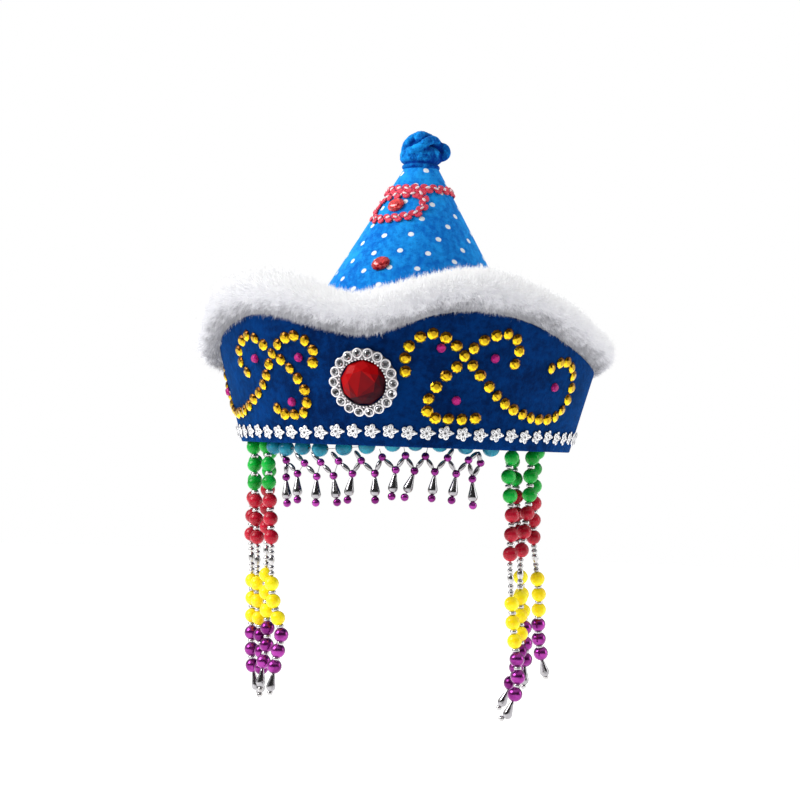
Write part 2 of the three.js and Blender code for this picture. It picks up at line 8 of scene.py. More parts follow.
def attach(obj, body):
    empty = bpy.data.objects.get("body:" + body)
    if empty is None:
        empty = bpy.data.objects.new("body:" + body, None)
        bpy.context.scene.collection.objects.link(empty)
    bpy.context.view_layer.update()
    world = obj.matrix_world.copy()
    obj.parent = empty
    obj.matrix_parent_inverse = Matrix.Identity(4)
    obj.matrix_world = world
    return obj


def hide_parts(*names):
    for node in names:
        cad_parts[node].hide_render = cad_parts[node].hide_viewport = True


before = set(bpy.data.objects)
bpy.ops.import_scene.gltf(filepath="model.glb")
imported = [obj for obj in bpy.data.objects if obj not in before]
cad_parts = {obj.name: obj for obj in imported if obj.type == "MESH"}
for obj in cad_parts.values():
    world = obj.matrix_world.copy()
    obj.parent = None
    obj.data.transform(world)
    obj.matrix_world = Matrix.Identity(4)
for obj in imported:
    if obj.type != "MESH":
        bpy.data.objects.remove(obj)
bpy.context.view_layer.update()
print("frame loaded")

mm = 0.001  # sizes in this file are millimetres, and a turn is degrees from the front towards +X


# small helpers

def pick(*pieces):
    if bpy.context.object and bpy.context.object.mode != "OBJECT":
        leaveEdit()
    bpy.ops.object.select_all(action="DESELECT")
    for piece in pieces:
        piece.select_set(True)
    bpy.context.view_layer.objects.active = pieces[0]


def newest(name):
    piece = bpy.context.object
    piece.name = name
    return piece


def placed(name, data):
    piece = bpy.data.objects.new(name, data)
    bpy.context.collection.objects.link(piece)
    return piece


def pickParts(piece, kind, wanted):  # kind is VERT, EDGE or FACE, and wanted tests each one's corners
    pick(piece)
    mesh = piece.data
    for rows in (mesh.vertices, mesh.edges, mesh.polygons):
        rows.foreach_set("select", np.zeros(len(rows), bool))
    rows = {"VERT": mesh.vertices, "EDGE": mesh.edges, "FACE": mesh.polygons}[kind]
    for row in rows:
        corners = [row.index] if kind == "VERT" else row.vertices
        row.select = wanted([mesh.vertices[i].co for i in corners])
    bpy.context.tool_settings.mesh_select_mode = [kind == k for k in ("VERT", "EDGE", "FACE")]
    bpy.ops.object.mode_set(mode="EDIT")


def leaveEdit():
    bpy.ops.object.mode_set(mode="OBJECT")


def modify(piece, kind, **settings):
    pick(piece)
    modifier = piece.modifiers.new(kind.title(), kind)
    for key, value in settings.items():
        setattr(modifier, key, value)
    bpy.ops.object.modifier_apply(modifier=modifier.name)


def fixNormals(piece):
    pickParts(piece, "FACE", lambda corners: True)
    bpy.ops.mesh.normals_make_consistent(inside=False)
    leaveEdit()


def joined(pieces, name):
    pick(*pieces)
    if len(pieces) > 1:
        bpy.ops.object.join()
    return newest(name)


def copies(model, places, name):  # one joined piece with a copy of the model at each place
    made = []
    for place in places:
        mesh = model.data.copy()
        mesh.transform(place)
        made.append(placed(name, mesh))
    return joined(made, name)


def drop(*pieces):
    for piece in pieces:
        bpy.data.objects.remove(piece)


def wear(piece, *finishes):
    piece.data.materials.clear()
    for finish in finishes:
        piece.data.materials.append(finish.material)


def smooth(piece, angle=None):
    pick(piece)
    if angle is None:
        bpy.ops.object.shade_smooth()
    else:
        bpy.ops.object.shade_smooth_by_angle(angle=radians(angle))


def standsFor(piece, nodes):
    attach(piece, "root")
    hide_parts(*nodes)


def stepFace(up, grow, twist=0.0):  # the picked face is drawn up, then scaled and turned
    bpy.ops.mesh.extrude_region_move(TRANSFORM_OT_translate={"value": (0, 0, up)})
    bpy.ops.transform.resize(value=(grow, grow, 1), center_override=(0, 0, 0))
    if twist:
        bpy.ops.transform.rotate(value=twist, orient_axis="Z", center_override=(0, 0, 0))


def turnedModel(name, rows, sides, finish):  # rows of radius and height, drawn up from a circle
    radius, height = rows[0]
    bpy.ops.mesh.primitive_circle_add(
        vertices=sides, radius=radius * mm, fill_type="NGON", location=(0, 0, height * mm))
    model = newest(name)
    bpy.ops.object.transform_apply(location=True)
    pickParts(model, "FACE", lambda corners: True)
    for nextRadius, nextHeight in rows[1:]:
        stepFace((nextHeight - height) * mm, nextRadius / radius)
        radius, height = nextRadius, nextHeight
    fixNormals(model)
    smooth(model, 50)
    wear(model, finish)
    return model


def spot(turn, radius, height):
    angle = radians(turn)
    return Vector((radius * sin(angle), -radius * cos(angle), height)) * mm


def torus(name, major, minor, majorSides, minorSides, at=(0, 0, 0), tilt=(0, 0, 0)):
    bpy.ops.mesh.primitive_torus_add(
        major_radius=major * mm, minor_radius=minor * mm, major_segments=majorSides, minor_segments=minorSides,
        location=at, rotation=tilt)
    return newest(name)


def axes(along, up, out, point):
    place = Matrix.Identity(4)
    for column, part in enumerate((along, up, out, point)):
        for row in range(3):
            place[row][column] = part[row]
    return place


def facing(point, ahead, spin=0.0):  # +Z of a model along ahead
    turn = ahead.normalized().to_track_quat("Z", "Y").to_matrix().to_4x4()
    return Matrix.Translation(point) @ turn @ Matrix.Rotation(radians(spin), 4, "Z")


def smoothRoute(points, steps=24):  # a rounded line through the points, eased by their distances
    ends = [2 * points[0] - points[1], *points, 2 * points[-1] - points[-2]]
    line = []
    for index in range(len(points) - 1):
        a, b, c, d = ends[index:index + 4]
        before, here, after = ((q - p).length ** 0.5 for p, q in ((a, b), (b, c), (c, d)))
        leave = ((b - a) / before - (c - a) / (before + here) + (c - b) / here) * here
        arrive = ((c - b) / here - (d - b) / (here + after) + (d - c) / after) * here
        for step in range(steps):
            t = step / steps
            line.append(b * (2 * t ** 3 - 3 * t ** 2 + 1) + leave * (t ** 3 - 2 * t ** 2 + t)
                        + c * (3 * t ** 2 - 2 * t ** 3) + arrive * (t ** 3 - t ** 2))
    return line + [points[-1]]


def alongRoute(line, distance):  # the place and the direction at a distance from the start
    for here, ahead in zip(line, line[1:]):
        step = (ahead - here).length
        if distance <= step:
            break
        distance -= step
    return here + (ahead - here) * min(distance / step, 1.5), (ahead - here).normalized()


def thread(name, lines, thickness, finish, roundness=1):  # round threads along several lines of points
    curve = bpy.data.curves.new(name, "CURVE")
    curve.dimensions = "3D"
    curve.bevel_depth = thickness / 2 * mm
    curve.bevel_resolution = roundness
    curve.use_fill_caps = True
    for points in lines:
        spline = curve.splines.new("POLY")
        spline.points.add(len(points) - 1)
        spline.points.foreach_set("co", [x for p in points for x in (*p, 1)])
    piece = placed(name, curve)
    pick(piece)
    bpy.ops.object.convert(target="MESH")
    smooth(piece)
    wear(piece, finish)
    return piece


# node maths

def wired(operation, swapped=False):
    def apply(self, other):
        first, second = (other, self) if swapped else (self, other)
        return self.maths(operation, first, second)
    return apply


class Wire:  # a node's output, which plain arithmetic carries on from
    def __init__(self, nodes, socket):
        self.nodes, self.socket = nodes, socket

    def maths(self, operation, first, second=0.0):
        return self.nodes.node("Math", {0: first, 1: second}, operation=operation)

    __add__, __radd__ = wired("ADD"), wired("ADD", True)
    __sub__, __rsub__ = wired("SUBTRACT"), wired("SUBTRACT", True)
    __mul__, __truediv__, __pow__ = wired("MULTIPLY"), wired("DIVIDE"), wired("POWER")


class Nodes:
    def __init__(self, owner, shader, coordinate):
        owner.use_nodes = True
        self.tree = owner.node_tree
        self.shader = self.tree.nodes[shader]
        self.place = self.node("TexCoord", {}, coordinate)

    def feed(self, socket, value):
        if isinstance(value, Wire):
            self.tree.links.new(value.socket, socket)
        elif hasattr(socket.default_value, "__len__") and len(value) == 3 and len(socket.default_value) == 4:
            socket.default_value = (*value, 1)
        else:
            socket.default_value = value

    def node(self, kind, sockets, output=0, **settings):
        made = self.tree.nodes.new("ShaderNode" + kind)
        for key, value in settings.items():
            setattr(made, key, value)
        for key, value in sockets.items():
            self.feed(made.inputs[key], value)
        return Wire(self, made.outputs[output])

    def paint(self, sockets):
        for key, value in sockets.items():
            self.feed(self.shader.inputs[key], value)

    def mix(self, share, first, second):
        return self.node("Mix", {0: share, 6: first, 7: second}, 2, data_type="RGBA")

    def range(self, value, low, high):  # 0 at low, 1 at high, smooth between
        return self.node("MapRange", {"Value": value, "From Min": low, "From Max": high},
                         interpolation_type="SMOOTHSTEP")


class Finish(Nodes):
    def __init__(self, name, sockets):
        self.material = bpy.data.materials.new(name)
        super().__init__(self.material, "Principled BSDF", "Object")
        self.paint(sockets)

    def noise(self, scale, detail=2.0, distortion=0.0):
        return self.node("TexNoise", {
            "Vector": self.place, "Scale": scale, "Detail": detail, "Distortion": distortion})

    def wave(self, direction, scale, distortion, detail=2.0):
        return self.node("TexWave", {
            "Vector": self.place, "Scale": scale, "Distortion": distortion, "Detail": detail},
            wave_type="BANDS", bands_direction=direction)

    def marked(self, name):  # a value kept on the mesh
        return self.node("Attribute", {}, "Fac", attribute_name=name)

    def ramp(self, share, stops):
        made = self.node("ValToRGB", {"Fac": share})
        elements = made.socket.node.color_ramp.elements
        while len(elements) < len(stops):
            elements.new(1)
        for element, (position, colour) in zip(elements, stops):
            element.position, element.color = position, (*colour, 1)
        return made

    def bump(self, height, distance, strength=1.0):
        self.paint({"Normal": self.node("Bump", {
            "Height": height, "Distance": distance * mm, "Strength": strength})})


# finishes

def plush(name, dark, light, sheen, sheenTint, foldShaded=False):
    finish = Finish(name, {"Roughness": 0.9, "Sheen Weight": sheen, "Sheen Roughness": 0.45,
                           "Sheen Tint": (*sheenTint, 1), "Specular IOR Level": 0.03})
    brushed = finish.noise(38, 3, 0.8)    # where the pile lies another way
    tufts = finish.noise(330, 3)
    pile = finish.noise(1500, 2)
    tone = finish.range(brushed * 0.42 + tufts * 0.38 + pile * 0.2, 0.37, 0.63)
    if foldShaded:    # painted highlight on a fold's back and painted shade between folds
        tone = finish.range(tone * 0.45 + finish.marked("knotPaintedShade"), 0.46, 1.16)
    finish.paint({"Base Color": finish.mix(tone, dark, light)})
    finish.bump(tufts * 0.6 + pile * 0.4, 0.9)
    return finish


bandPlush = plush("bandPlush", (0.0004, 0.009, 0.056), (0.0005, 0.027, 0.14), 0.2, (0.0, 0.3, 1))
knotPlush = plush("knotPlush", (0.001, 0.03, 0.26), (0.012, 0.36, 0.95), 0.25, (0.06, 0.6, 1), True)


def dottedPlush():
    flatScale = 100.0    # millimetres in one unit of the cloth's flat map
    finish = plush("crownPlush", (0.002, 0.125, 0.56), (0.014, 0.34, 0.9), 0.35, (0.12, 0.65, 1))
    rowPitch, dotPitch, rowShift = 10.93, 15.2, -4.1    # the printed dots, on the flat cloth
    firstAcross, firstDown = 3.8, 64.5
    halfWide, halfHigh = 1.7, 1.5
    split = finish.node("SeparateXYZ", {"Vector": finish.node("UVMap", {}, uv_map="flatCloth")})
    across = split * flatScale
    down = Wire(finish, split.socket.node.outputs[1]) * flatScale
    row = across.maths("ROUND", (down - firstDown) / rowPitch)
    along = across - (firstAcross + row * rowShift)
    aside = along - across.maths("ROUND", along / dotPitch) * dotPitch
    below = down - firstDown - row * rowPitch
    away = ((aside / halfWide) ** 2.0 + (below / halfHigh) ** 2.0) + finish.noise(900, 2) * 0.5 - 0.25
    dot = 1 - finish.range(away, 0.75, 1.05)
    bare = finish.shader.inputs["Base Color"].links[0].from_socket
    finish.paint({"Base Color": finish.mix(dot, Wire(finish, bare), (0.86, 0.9, 0.93)),
                  "Roughness": 0.9 - dot * 0.35})
    return finish


crownPlush = dottedPlush()


def lining():
    finish = Finish("lining", {"Roughness": 0.8})
    weave = finish.wave("Z", 700.0, 0.4)
    finish.paint({"Base Color": finish.mix(weave * 0.5 + finish.noise(80) * 0.4,
                                           (0.004, 0.02, 0.09), (0.01, 0.05, 0.18))})
    finish.bump(weave, 0.15)
    return finish


liningCloth = lining()


def whiteFur():
    # painted light: the fur glows faintly by itself, dim on the shaded underside and bright on top
    finish = Finish("whiteFur", {"Roughness": 0.95, "Specular IOR Level": 0.05, "Emission Strength": 0.2})
    tone = finish.range(finish.noise(170, 3), 0.3, 0.7) * 0.14 + finish.marked("furPaintedShade") * 0.86
    low, mid, high = 0.08, 0.3, 0.8    # painted shade: darkest on the roll's underside and between the hairs, lightest at the hairs' tips on top
    finish.paint({
        "Base Color": finish.ramp(
            tone, [(low, (0.44, 0.44, 0.46)), (mid, (0.73, 0.73, 0.75)), (high, (0.82, 0.82, 0.825))]),
        "Emission Color": finish.ramp(
            tone, [(low, (0.15, 0.15, 0.17)), (mid, (0.66, 0.66, 0.7)), (high, (0.86, 0.86, 0.86))]),
    })
    return finish


furHair = whiteFur()


def thready(name, dark, light, scale, roughness=0.6):
    finish = Finish(name, {"Roughness": roughness, "Sheen Weight": 0.15})
    twist = finish.wave("DIAGONAL", scale, 1.5, 1.0)
    finish.paint({"Base Color": finish.mix(twist * 0.6 + finish.noise(700) * 0.4, dark, light)})
    finish.bump(twist, 0.2)
    return finish


laceRed = thready("laceRed", (0.5, 0.004, 0.025), (1.0, 0.045, 0.12), 420.0)
laceStitch = thready("laceStitch", (0.8, 0.5, 0.55), (0.98, 0.93, 0.94), 500.0)
stringThread = thready("stringThread", (0.2, 0.2, 0.2), (0.4, 0.4, 0.4), 900.0, 0.4)


def plated(name, colour, roughness, wornColour, metallic=1.0):
    finish = Finish(name, {"Metallic": metallic})
    worn = finish.range(finish.noise(260, 3), 0.5, 0.75)
    finish.paint({"Base Color": finish.mix(worn, colour, wornColour), "Roughness": worn * 0.12 + roughness})
    finish.bump(finish.noise(1400, 2), 0.04)
    return finish


settingMetal = plated("settingMetal", (0.2, 0.19, 0.2), 0.3, (0.07, 0.07, 0.075), 0.8)
cupSilver = plated("cupSilver", (0.9, 0.87, 0.88), 0.3, (0.72, 0.68, 0.7), 0.5)
dropSilver = plated("dropSilver", (0.34, 0.33, 0.345), 0.15, (0.17, 0.165, 0.17))
linkSilver = plated("linkSilver", (0.52, 0.51, 0.51), 0.13, (0.26, 0.25, 0.25), 0.92)
braidSilver = plated("braidSilver", (0.78, 0.78, 0.79), 0.35, (0.5, 0.5, 0.52), 0.45)
braidShade = plated("braidShade", (0.1, 0.1, 0.11), 0.4, (0.2, 0.2, 0.22), 0.6)


def foiled(name, dark, light, metallic, roughness, coat=0.06):  # each facet's foil shows lighter or darker, partly at random and partly by painted light and reflection
    finish = Finish(name, {"Metallic": metallic, "Coat Weight": coat, "Coat Roughness": 0.05,
                           "Specular IOR Level": coat * 3})
    cloud = finish.noise(300, 2)
    facet = finish.marked("facetToneAndPaintedLight") * 0.9 + cloud * 0.2 - 0.05
    finish.paint({"Base Color": finish.mix(facet, dark, light),
                  "Roughness": cloud * 0.06 + roughness})
    return finish


goldFoil = foiled("goldFoil", (0.09, 0.02, 0.001), (1.0, 0.66, 0.015), 0.85, 0.2)
redFoil = foiled("redFoil", (0.012, 0.002, 0.006), (0.38, 0.0008, 0.002), 0.05, 0.4, 0.02)
laceStoneRed = foiled("laceStoneRed", (0.32, 0.002, 0.008), (1.0, 0.06, 0.06), 0.15, 0.1, 0.2)
magentaFoil = foiled("magentaFoil", (0.2, 0.003, 0.085), (0.5, 0.008, 0.19), 0.2, 0.3)
crystalFoil = foiled("crystalFoil", (0.006, 0.006, 0.008), (0.55, 0.55, 0.57), 0.95, 0.08)


def beadGloss(name, dark, light, metallic=0.0, roughness=0.2):
    finish = Finish(name, {"Metallic": metallic, "Coat Weight": 0.06, "Coat Roughness": 0.08,
                           "Specular IOR Level": 0.2})
    cloud = finish.range(finish.noise(140, 3), 0.35, 0.65)
    finish.paint({"Base Color": finish.mix(cloud, dark, light),
                  "Roughness": finish.noise(600, 2) * 0.12 + roughness})
    finish.bump(finish.noise(500, 2), 0.05)
    return finish


beadGreen = beadGloss("beadGreen", (0.001, 0.24, 0.018), (0.004, 0.4, 0.042))
beadRed = beadGloss("beadRed", (0.3, 0.003, 0.014), (0.46, 0.008, 0.028))
beadYellow = beadGloss("beadYellow", (0.92, 0.64, 0.004), (1.0, 0.87, 0.012))
beadPurple = beadGloss("beadPurple", (0.145, 0.011, 0.125), (0.32, 0.04, 0.285), 0.9, 0.17)
beadTurquoise = beadGloss("beadTurquoise", (0.003, 0.11, 0.19), (0.012, 0.25, 0.35))
print("finishes ready")


# camera, floor and light

camera = {"azimuth": 13, "roll": 2, "distance": 1117, "aim": (5.5, -47, -2025), "lens": 91.125}


def setCamera():
    turn, roll = radians(camera["azimuth"]), radians(camera["roll"])
    back = Vector((sin(turn), -cos(turn), 0))
    right = Vector((cos(turn), sin(turn), 0))
    up = Vector((0, 0, 1))
    level = axes(cos(roll) * right + sin(roll) * up,
                 cos(roll) * up - sin(roll) * right, back, back * camera["distance"] * mm)
    aim = Vector(camera["aim"]).rotation_difference(Vector((0, 0, -1)))
    data = bpy.data.cameras.new("photoCamera")
    data.lens, data.sensor_width = camera["lens"], 36
    data.clip_start, data.clip_end = 0.05, 30
    eye = placed("photoCamera", data)
    eye.matrix_world = level @ aim.to_matrix().to_4x4()
    bpy.context.scene.camera = eye
    return back, right


toCamera, cameraRight = setCamera()

stage = {"floorHeight": -380, "floorRadius": 6000}


def makeFloor():
    bpy.ops.mesh.primitive_circle_add(vertices=96, radius=stage["floorRadius"] * mm, fill_type="NGON",
                                      location=(0, 0, stage["floorHeight"] * mm))
    floor = newest("floor")
    paint = Finish("floorPaint", {"Roughness": 0.9, "Emission Strength": 0.55, "Emission Color": (1, 1, 1)})
    paint.paint({"Base Color": paint.mix(paint.noise(2), (0.9, 0.9, 0.9), (0.94, 0.94, 0.94))})
    wear(floor, paint)


makeFloor()

lights = [
    {"name": "keyLight", "side": -1.45, "front": 0.45, "up": 0.95, "size": 0.9, "power": 29},
    {"name": "fillLight", "side": 1.7, "front": -0.1, "up": 0.3, "size": 0.9, "power": 7},
    {"name": "backLight", "side": -0.3, "front": -1.3, "up": 1.1, "size": 1.0, "power": 10},
]
for row in lights:
    data = bpy.data.lights.new(row["name"], "AREA")
    data.energy, data.size = row["power"], row["size"]
    lamp = placed(row["name"], data)
    lamp.location = cameraRight * row["side"] + toCamera * row["front"] + Vector((0, 0, row["up"]))
    lamp.rotation_euler = lamp.location.to_track_quat("Z", "Y").to_euler()


darkRoom = {"middle": 0.1, "side": (-0.05, 0.35), "fade": (0.66, 0.36), "back": (-0.3, -0.75),
            "white": 0.85, "dark": 0.05, "behind": 0.5}


def setWorld():  # white all round, with a wide dark part in front for the metals to reflect
    world = bpy.data.worlds.new("studio")
    bpy.context.scene.world = world
    sky = Nodes(world, "Background", "Generated")
    ahead = sky.node("VectorMath", {0: sky.place, 1: toCamera}, 1, operation="DOT_PRODUCT")
    height = sky.node("SeparateXYZ", {0: sky.place}, 2)
    away = height.maths("ABSOLUTE", height - darkRoom["middle"])
    room = sky.range(ahead, *darkRoom["side"]) * sky.range(away, *darkRoom["fade"])
    white, dark, grey = ((darkRoom[key],) * 3 for key in ("white", "dark", "behind"))
    walls = sky.mix(sky.range(ahead, *darkRoom["back"]), white, grey)
    seen = sky.node("LightPath", {}, "Is Camera Ray")
    sky.paint({"Color": sky.mix(seen, sky.mix(room, walls, dark), (1, 1, 1)), "Strength": 1.0})


setWorld()
bpy.context.scene.view_settings.view_transform = "Standard"
print("stage, light and camera ready")


# band of blue plush

band = {
    "rimRadius": 90, "slope": 0.282, "wall": 2.5, "seatRise": 0.5, "sides": 200, "rows": 17,
    "rightHigh": 2, "leftLow": 1, "sideSteep": 8,  # how far the edge stands higher and lower at the sides
    "edge": {0: 53.5, 10: 58, 20: 65, 30: 67.6, 40: 66.2, 50: 61.8, 60: 56.2, 70: 50.6, 80: 46,
             95: 42, 120: 39, 180: 38},
    "edgeEasing": 5, "softness": 0.2,
}
crown = {"apex": 170.2, "halfAngle": 30, "top": 153.5, "wall": 2, "hemBottom": 8, "lean": 4,
         "sides": 160, "rows": 26}
coneSlope = tan(radians(crown["halfAngle"]))


def bandRadius(height):
    return band["rimRadius"] + band["slope"] * height


hemRadius = bandRadius(crown["hemBottom"]) - band["wall"] - 0.3
hemTop = crown["apex"] - hemRadius / coneSlope


def crownRadius(height):
    return coneSlope * (crown["apex"] - height)


def leanAt(height):
    return crown["lean"] * max(0, height - hemTop) / (crown["apex"] - hemTop)


def leanShift(height):
    return Vector((leanAt(height) * mm, 0, 0))


turns = np.arange(-180, 181)
easing = np.exp(-0.5 * (np.arange(-20, 21) / band["edgeEasing"]) ** 2)
around = np.arange(-200, 201)
edgeTable = np.convolve(
    np.interp(np.abs((around + 180) % 360 - 180), list(band["edge"]), list(band["edge"].values()))
    + np.clip(band["sideSteep"] * np.sin(np.radians(around)), -band["leftLow"], band["rightHigh"]),
    easing / easing.sum(), "valid")


def edgeHeight(turn):
    return float(np.interp((turn + 180) % 360 - 180, turns, edgeTable))


def seatOn(surface, turn, height, lift=0.0, roll=0.0):
    onBand = surface == "band"
    tilt = -atan(band["slope"]) if onBand else radians(crown["halfAngle"])
    out = spot(turn, cos(tilt), sin(tilt)).normalized()
    along = Vector((cos(radians(turn)), sin(radians(turn)), 0))
    point = spot(turn, bandRadius(height) if onBand else crownRadius(height), height)
    if not onBand:
        point.x += leanAt(height) * mm
    place = axes(along, out.cross(along), out, point + out * lift * mm)
    return place @ Matrix.Rotation(radians(roll), 4, "Z")


def turnOf(place):
    return degrees(atan2(place.x, -place.y))


def tube(name, sides, rows):  # an open tube one unit high with rows of edges round it
    bpy.ops.mesh.primitive_cylinder_add(vertices=sides, radius=0.1, depth=1, end_fill_type="NOTHING",
                                        location=(0, 0, 0.5))
    piece = newest(name)
    bpy.ops.object.transform_apply(location=True)
    pickParts(piece, "EDGE", lambda ends: abs(ends[0].z - ends[1].z) > 0.5)
    bpy.ops.mesh.subdivide(number_cuts=rows)
    leaveEdit()
    return piece


def makeBand():
    piece = tube("bandWall", band["sides"], band["rows"])
    for vertex in piece.data.vertices:
        turn = turnOf(vertex.co)
        height = vertex.co.z * (edgeHeight(turn) + band["seatRise"])
        give = sin(radians(turn * 5 + 20)) * sin(radians(turn * 2 + height * 3))
        middle = bandRadius(height) - band["wall"] / 2 + give * band["softness"] * min(1, height / 15)
        vertex.co = spot(turn, middle, height)
    fixNormals(piece)
    modify(piece, "SOLIDIFY", thickness=(band["wall"] - 0.1) * mm, offset=0)
    modify(piece, "BEVEL", width=1.0 * mm, segments=3, limit_method="ANGLE", angle_limit=radians(60))
    smooth(piece)
    wear(piece, bandPlush, liningCloth)
    for face in piece.data.polygons:
        middle = Vector((face.center.x, face.center.y, 0))
        if face.normal.dot(middle.normalized()) < -0.5:
            face.material_index = 1
    standsFor(piece, ["brim_band"])


makeBand()
print("band made")


# pointed crown

def makeCrown():
    piece = tube("crownCone", crown["sides"], crown["rows"])
    shares = sorted({round(v.co.z, 4) for v in piece.data.vertices})
    heights = [crown["hemBottom"], (crown["hemBottom"] + hemTop) / 2,
               *np.linspace(hemTop, crown["top"], len(shares) - 2)]
    heightOf = dict(zip(shares, heights))
    for vertex in piece.data.vertices:
        turn, height = turnOf(vertex.co), heightOf[round(vertex.co.z, 4)]
        radius = min(crownRadius(height), hemRadius)
        vertex.co = spot(turn, radius, height) + leanShift(height)
    flat = piece.data.uv_layers.new(name="flatCloth")
    for face in piece.data.polygons:
        middle = turnOf(face.center - leanShift(face.center.z / mm))
        for loop in face.loop_indices:
            at = piece.data.vertices[piece.data.loops[loop].vertex_index].co
            turn = turnOf(at - leanShift(at.z / mm))
            turn += 360 * round((middle - turn) / 360)
            slant = (crown["apex"] - at.z / mm) / cos(radians(crown["halfAngle"]))
            half = radians(turn / 2)
            flat.data[loop].uv = (slant * sin(half) / 100, slant * cos(half) / 100)
    # the tip is closed under the knot
    pickParts(piece, "EDGE", lambda ends: min(ends[0].z, ends[1].z) > (crown["top"] - 0.1) * mm)
    bpy.ops.mesh.edge_face_add()
    leaveEdit()
    fixNormals(piece)
    modify(piece, "SOLIDIFY", thickness=crown["wall"] * mm, offset=-1)
    smooth(piece, 40)
    wear(piece, crownPlush, liningCloth)
    for face in piece.data.polygons:
        middle = Vector((face.center.x, face.center.y, 0))
        if face.normal.dot(middle.normalized()) < -0.3:
            face.material_index = 1
    standsFor(piece, ["crown_cone"])


makeCrown()
print("crown made")


# knot on the crown's top

knot = {
    "foot": 153.8, "voxel": 0.45, "gather": 0.14, "gathers": 17,
    # how the knot's painted shade follows its folds and darkens towards its foot
    "ridgeSpread": 40, "ridgeHeight": 1.1, "footShade": 0.3,
    "rolls": [  # major and minor radius, centre from the foot, and tilt about X
        {"size": (9.2, 1.35), "at": (-0.4, 0, 0.7), "tilt": 0},
        {"size": (3.0, 2.4), "at": (10.6, 1.0, 9.4), "tilt": 84},
    ],
    "lumps": [  # half sizes and centre of the plush bunched together
        {"size": (11.7, 10.8, 4.4), "at": (-0.5, 0, 5.2)},
        {"size": (11.7, 10.6, 6.0), "at": (-0.6, 0, 7.4)},
        {"size": (8.0, 7.2, 5.8), "at": (-3.0, 1.4, 11.4)},
        {"size": (5.0, 4.8, 3.9), "at": (-0.2, -2.2, 16.9)},
        {"size": (4.6, 5.4, 5.0), "at": (4.4, 2.6, 13.4)},
        {"size": (2.0, 1.4, 2.0), "at": (10.6, 1.4, 9.4)},
    ],
    "folds": [  # thickness and middle line of the rolled folds that cross the front
        {"thick": 5.0, "line": [(-5.6, -7.6, 7.6), (-2.6, -9.2, 9.2), (1.2, -9.2, 11.2), (4.4, -7.4, 14.0),
                                (6.8, -3.6, 15.6), (8.6, 0.4, 13.4), (8.4, 1.4, 8.6)]},
        {"thick": 5.4, "line": [(-8.8, -1.6, 7.8), (-8.2, -3.0, 11.8), (-5.8, -3.2, 15.4), (-2.0, -2.4, 17.6),
                                (3.0, -1.4, 17.2), (5.0, 1.4, 15.6)]},
    ],
}


def makeKnot():
    foot = Vector((leanAt(knot["foot"]), 0, knot["foot"])) * mm
    parts = []
    for row in knot["rolls"]:
        parts.append(torus("knotRoll", *row["size"], 48, 20, foot + Vector(row["at"]) * mm,
                           (radians(row["tilt"]), 0, 0)))
    for row in knot["lumps"]:
        bpy.ops.mesh.primitive_uv_sphere_add(segments=32, ring_count=16, radius=1,
                                             location=foot + Vector(row["at"]) * mm)
        parts.append(newest("knotLump"))
        parts[-1].scale = Vector(row["size"]) * mm
    for row in knot["folds"]:
        line = smoothRoute([foot + Vector(at) * mm for at in row["line"]], 8)
        parts.append(thread("knotFold", [line], row["thick"], knotPlush, 4))
    piece = joined(parts[::-1], "crownKnot")
    bpy.ops.object.transform_apply(location=True, rotation=True, scale=True)
    modify(piece, "REMESH", mode="VOXEL", voxel_size=knot["voxel"] * mm)
    modify(piece, "SMOOTH", factor=0.5, iterations=4)
    for vertex in piece.data.vertices:  # gathers run up the bunched plush
        at = (vertex.co - foot) / mm
        around = atan2(at.y, at.x)
        gather = sin(around * knot["gathers"] + at.z * 0.35) * sin(around * 5 + at.z * 0.6)
        vertex.co += vertex.normal * gather * knot["gather"] * min(1, max(0, at.z / 4)) * mm
    # painted light: bright on the folds' backs, painted shade between the folds
    shape = np.array([vertex.co for vertex in piece.data.vertices])
    outward = np.array([vertex.normal for vertex in piece.data.vertices])
    eased = placed("knotEased", piece.data.copy())
    modify(eased, "SMOOTH", factor=0.9, iterations=knot["ridgeSpread"])
    rise = ((shape - np.array([vertex.co for vertex in eased.data.vertices])) * outward).sum(1) / mm
    # painted shade, darker towards the knot's foot
    low = knot["footShade"] * np.clip(1.2 - (shape[:, 2] / mm - knot["foot"]) / 6, 0, 1)
    drop(eased)
    piece.data.attributes.new("knotPaintedShade", "FLOAT", "POINT").data.foreach_set(
        "value", np.clip(0.5 + rise / knot["ridgeHeight"] / 2 - low, 0, 1).astype(np.float32))
    smooth(piece)
    wear(piece, knotPlush)
    standsFor(piece, ["crown_knot"])


makeKnot()
print("knot made")


# white fur round the band's edge

fur = {
    "seed": 7, "rise": 0.8, "flat": 9.64, "centreIn": 1.25, "coreRadius": 9.2, "rootRadius": 8.2,
    "tipRadius": 13.2, "lump": 0.05, "lumps": 13, "leftSwell": 0.14, "rightSwell": -0.12,
    "leftSag": 5, "rightSag": -0.5,
    "hairs": 48000, "pieces": 4, "width": 0.26, "tuft": 2.2, "tuftLean": 0.3, "gather": 0.45,
    "jitter": 0.6, "droop": 0.12, "middleRadius": 104, "tuftKinds": 65536,
    "reach": 0.86, "reachChance": 0.12,    # a hair's share of its full length
    "fringeFrom": 0.35, "fringeCut": 0.22, "rightCut": 0.16,    # how much shorter the hairs over the band are
    "tuftShade": 0.22, "bladeShade": [-0.2, -0.2, -0.02, -0.02, 0.04],    # painted shade from the root to the tip, darkest at the roots
}


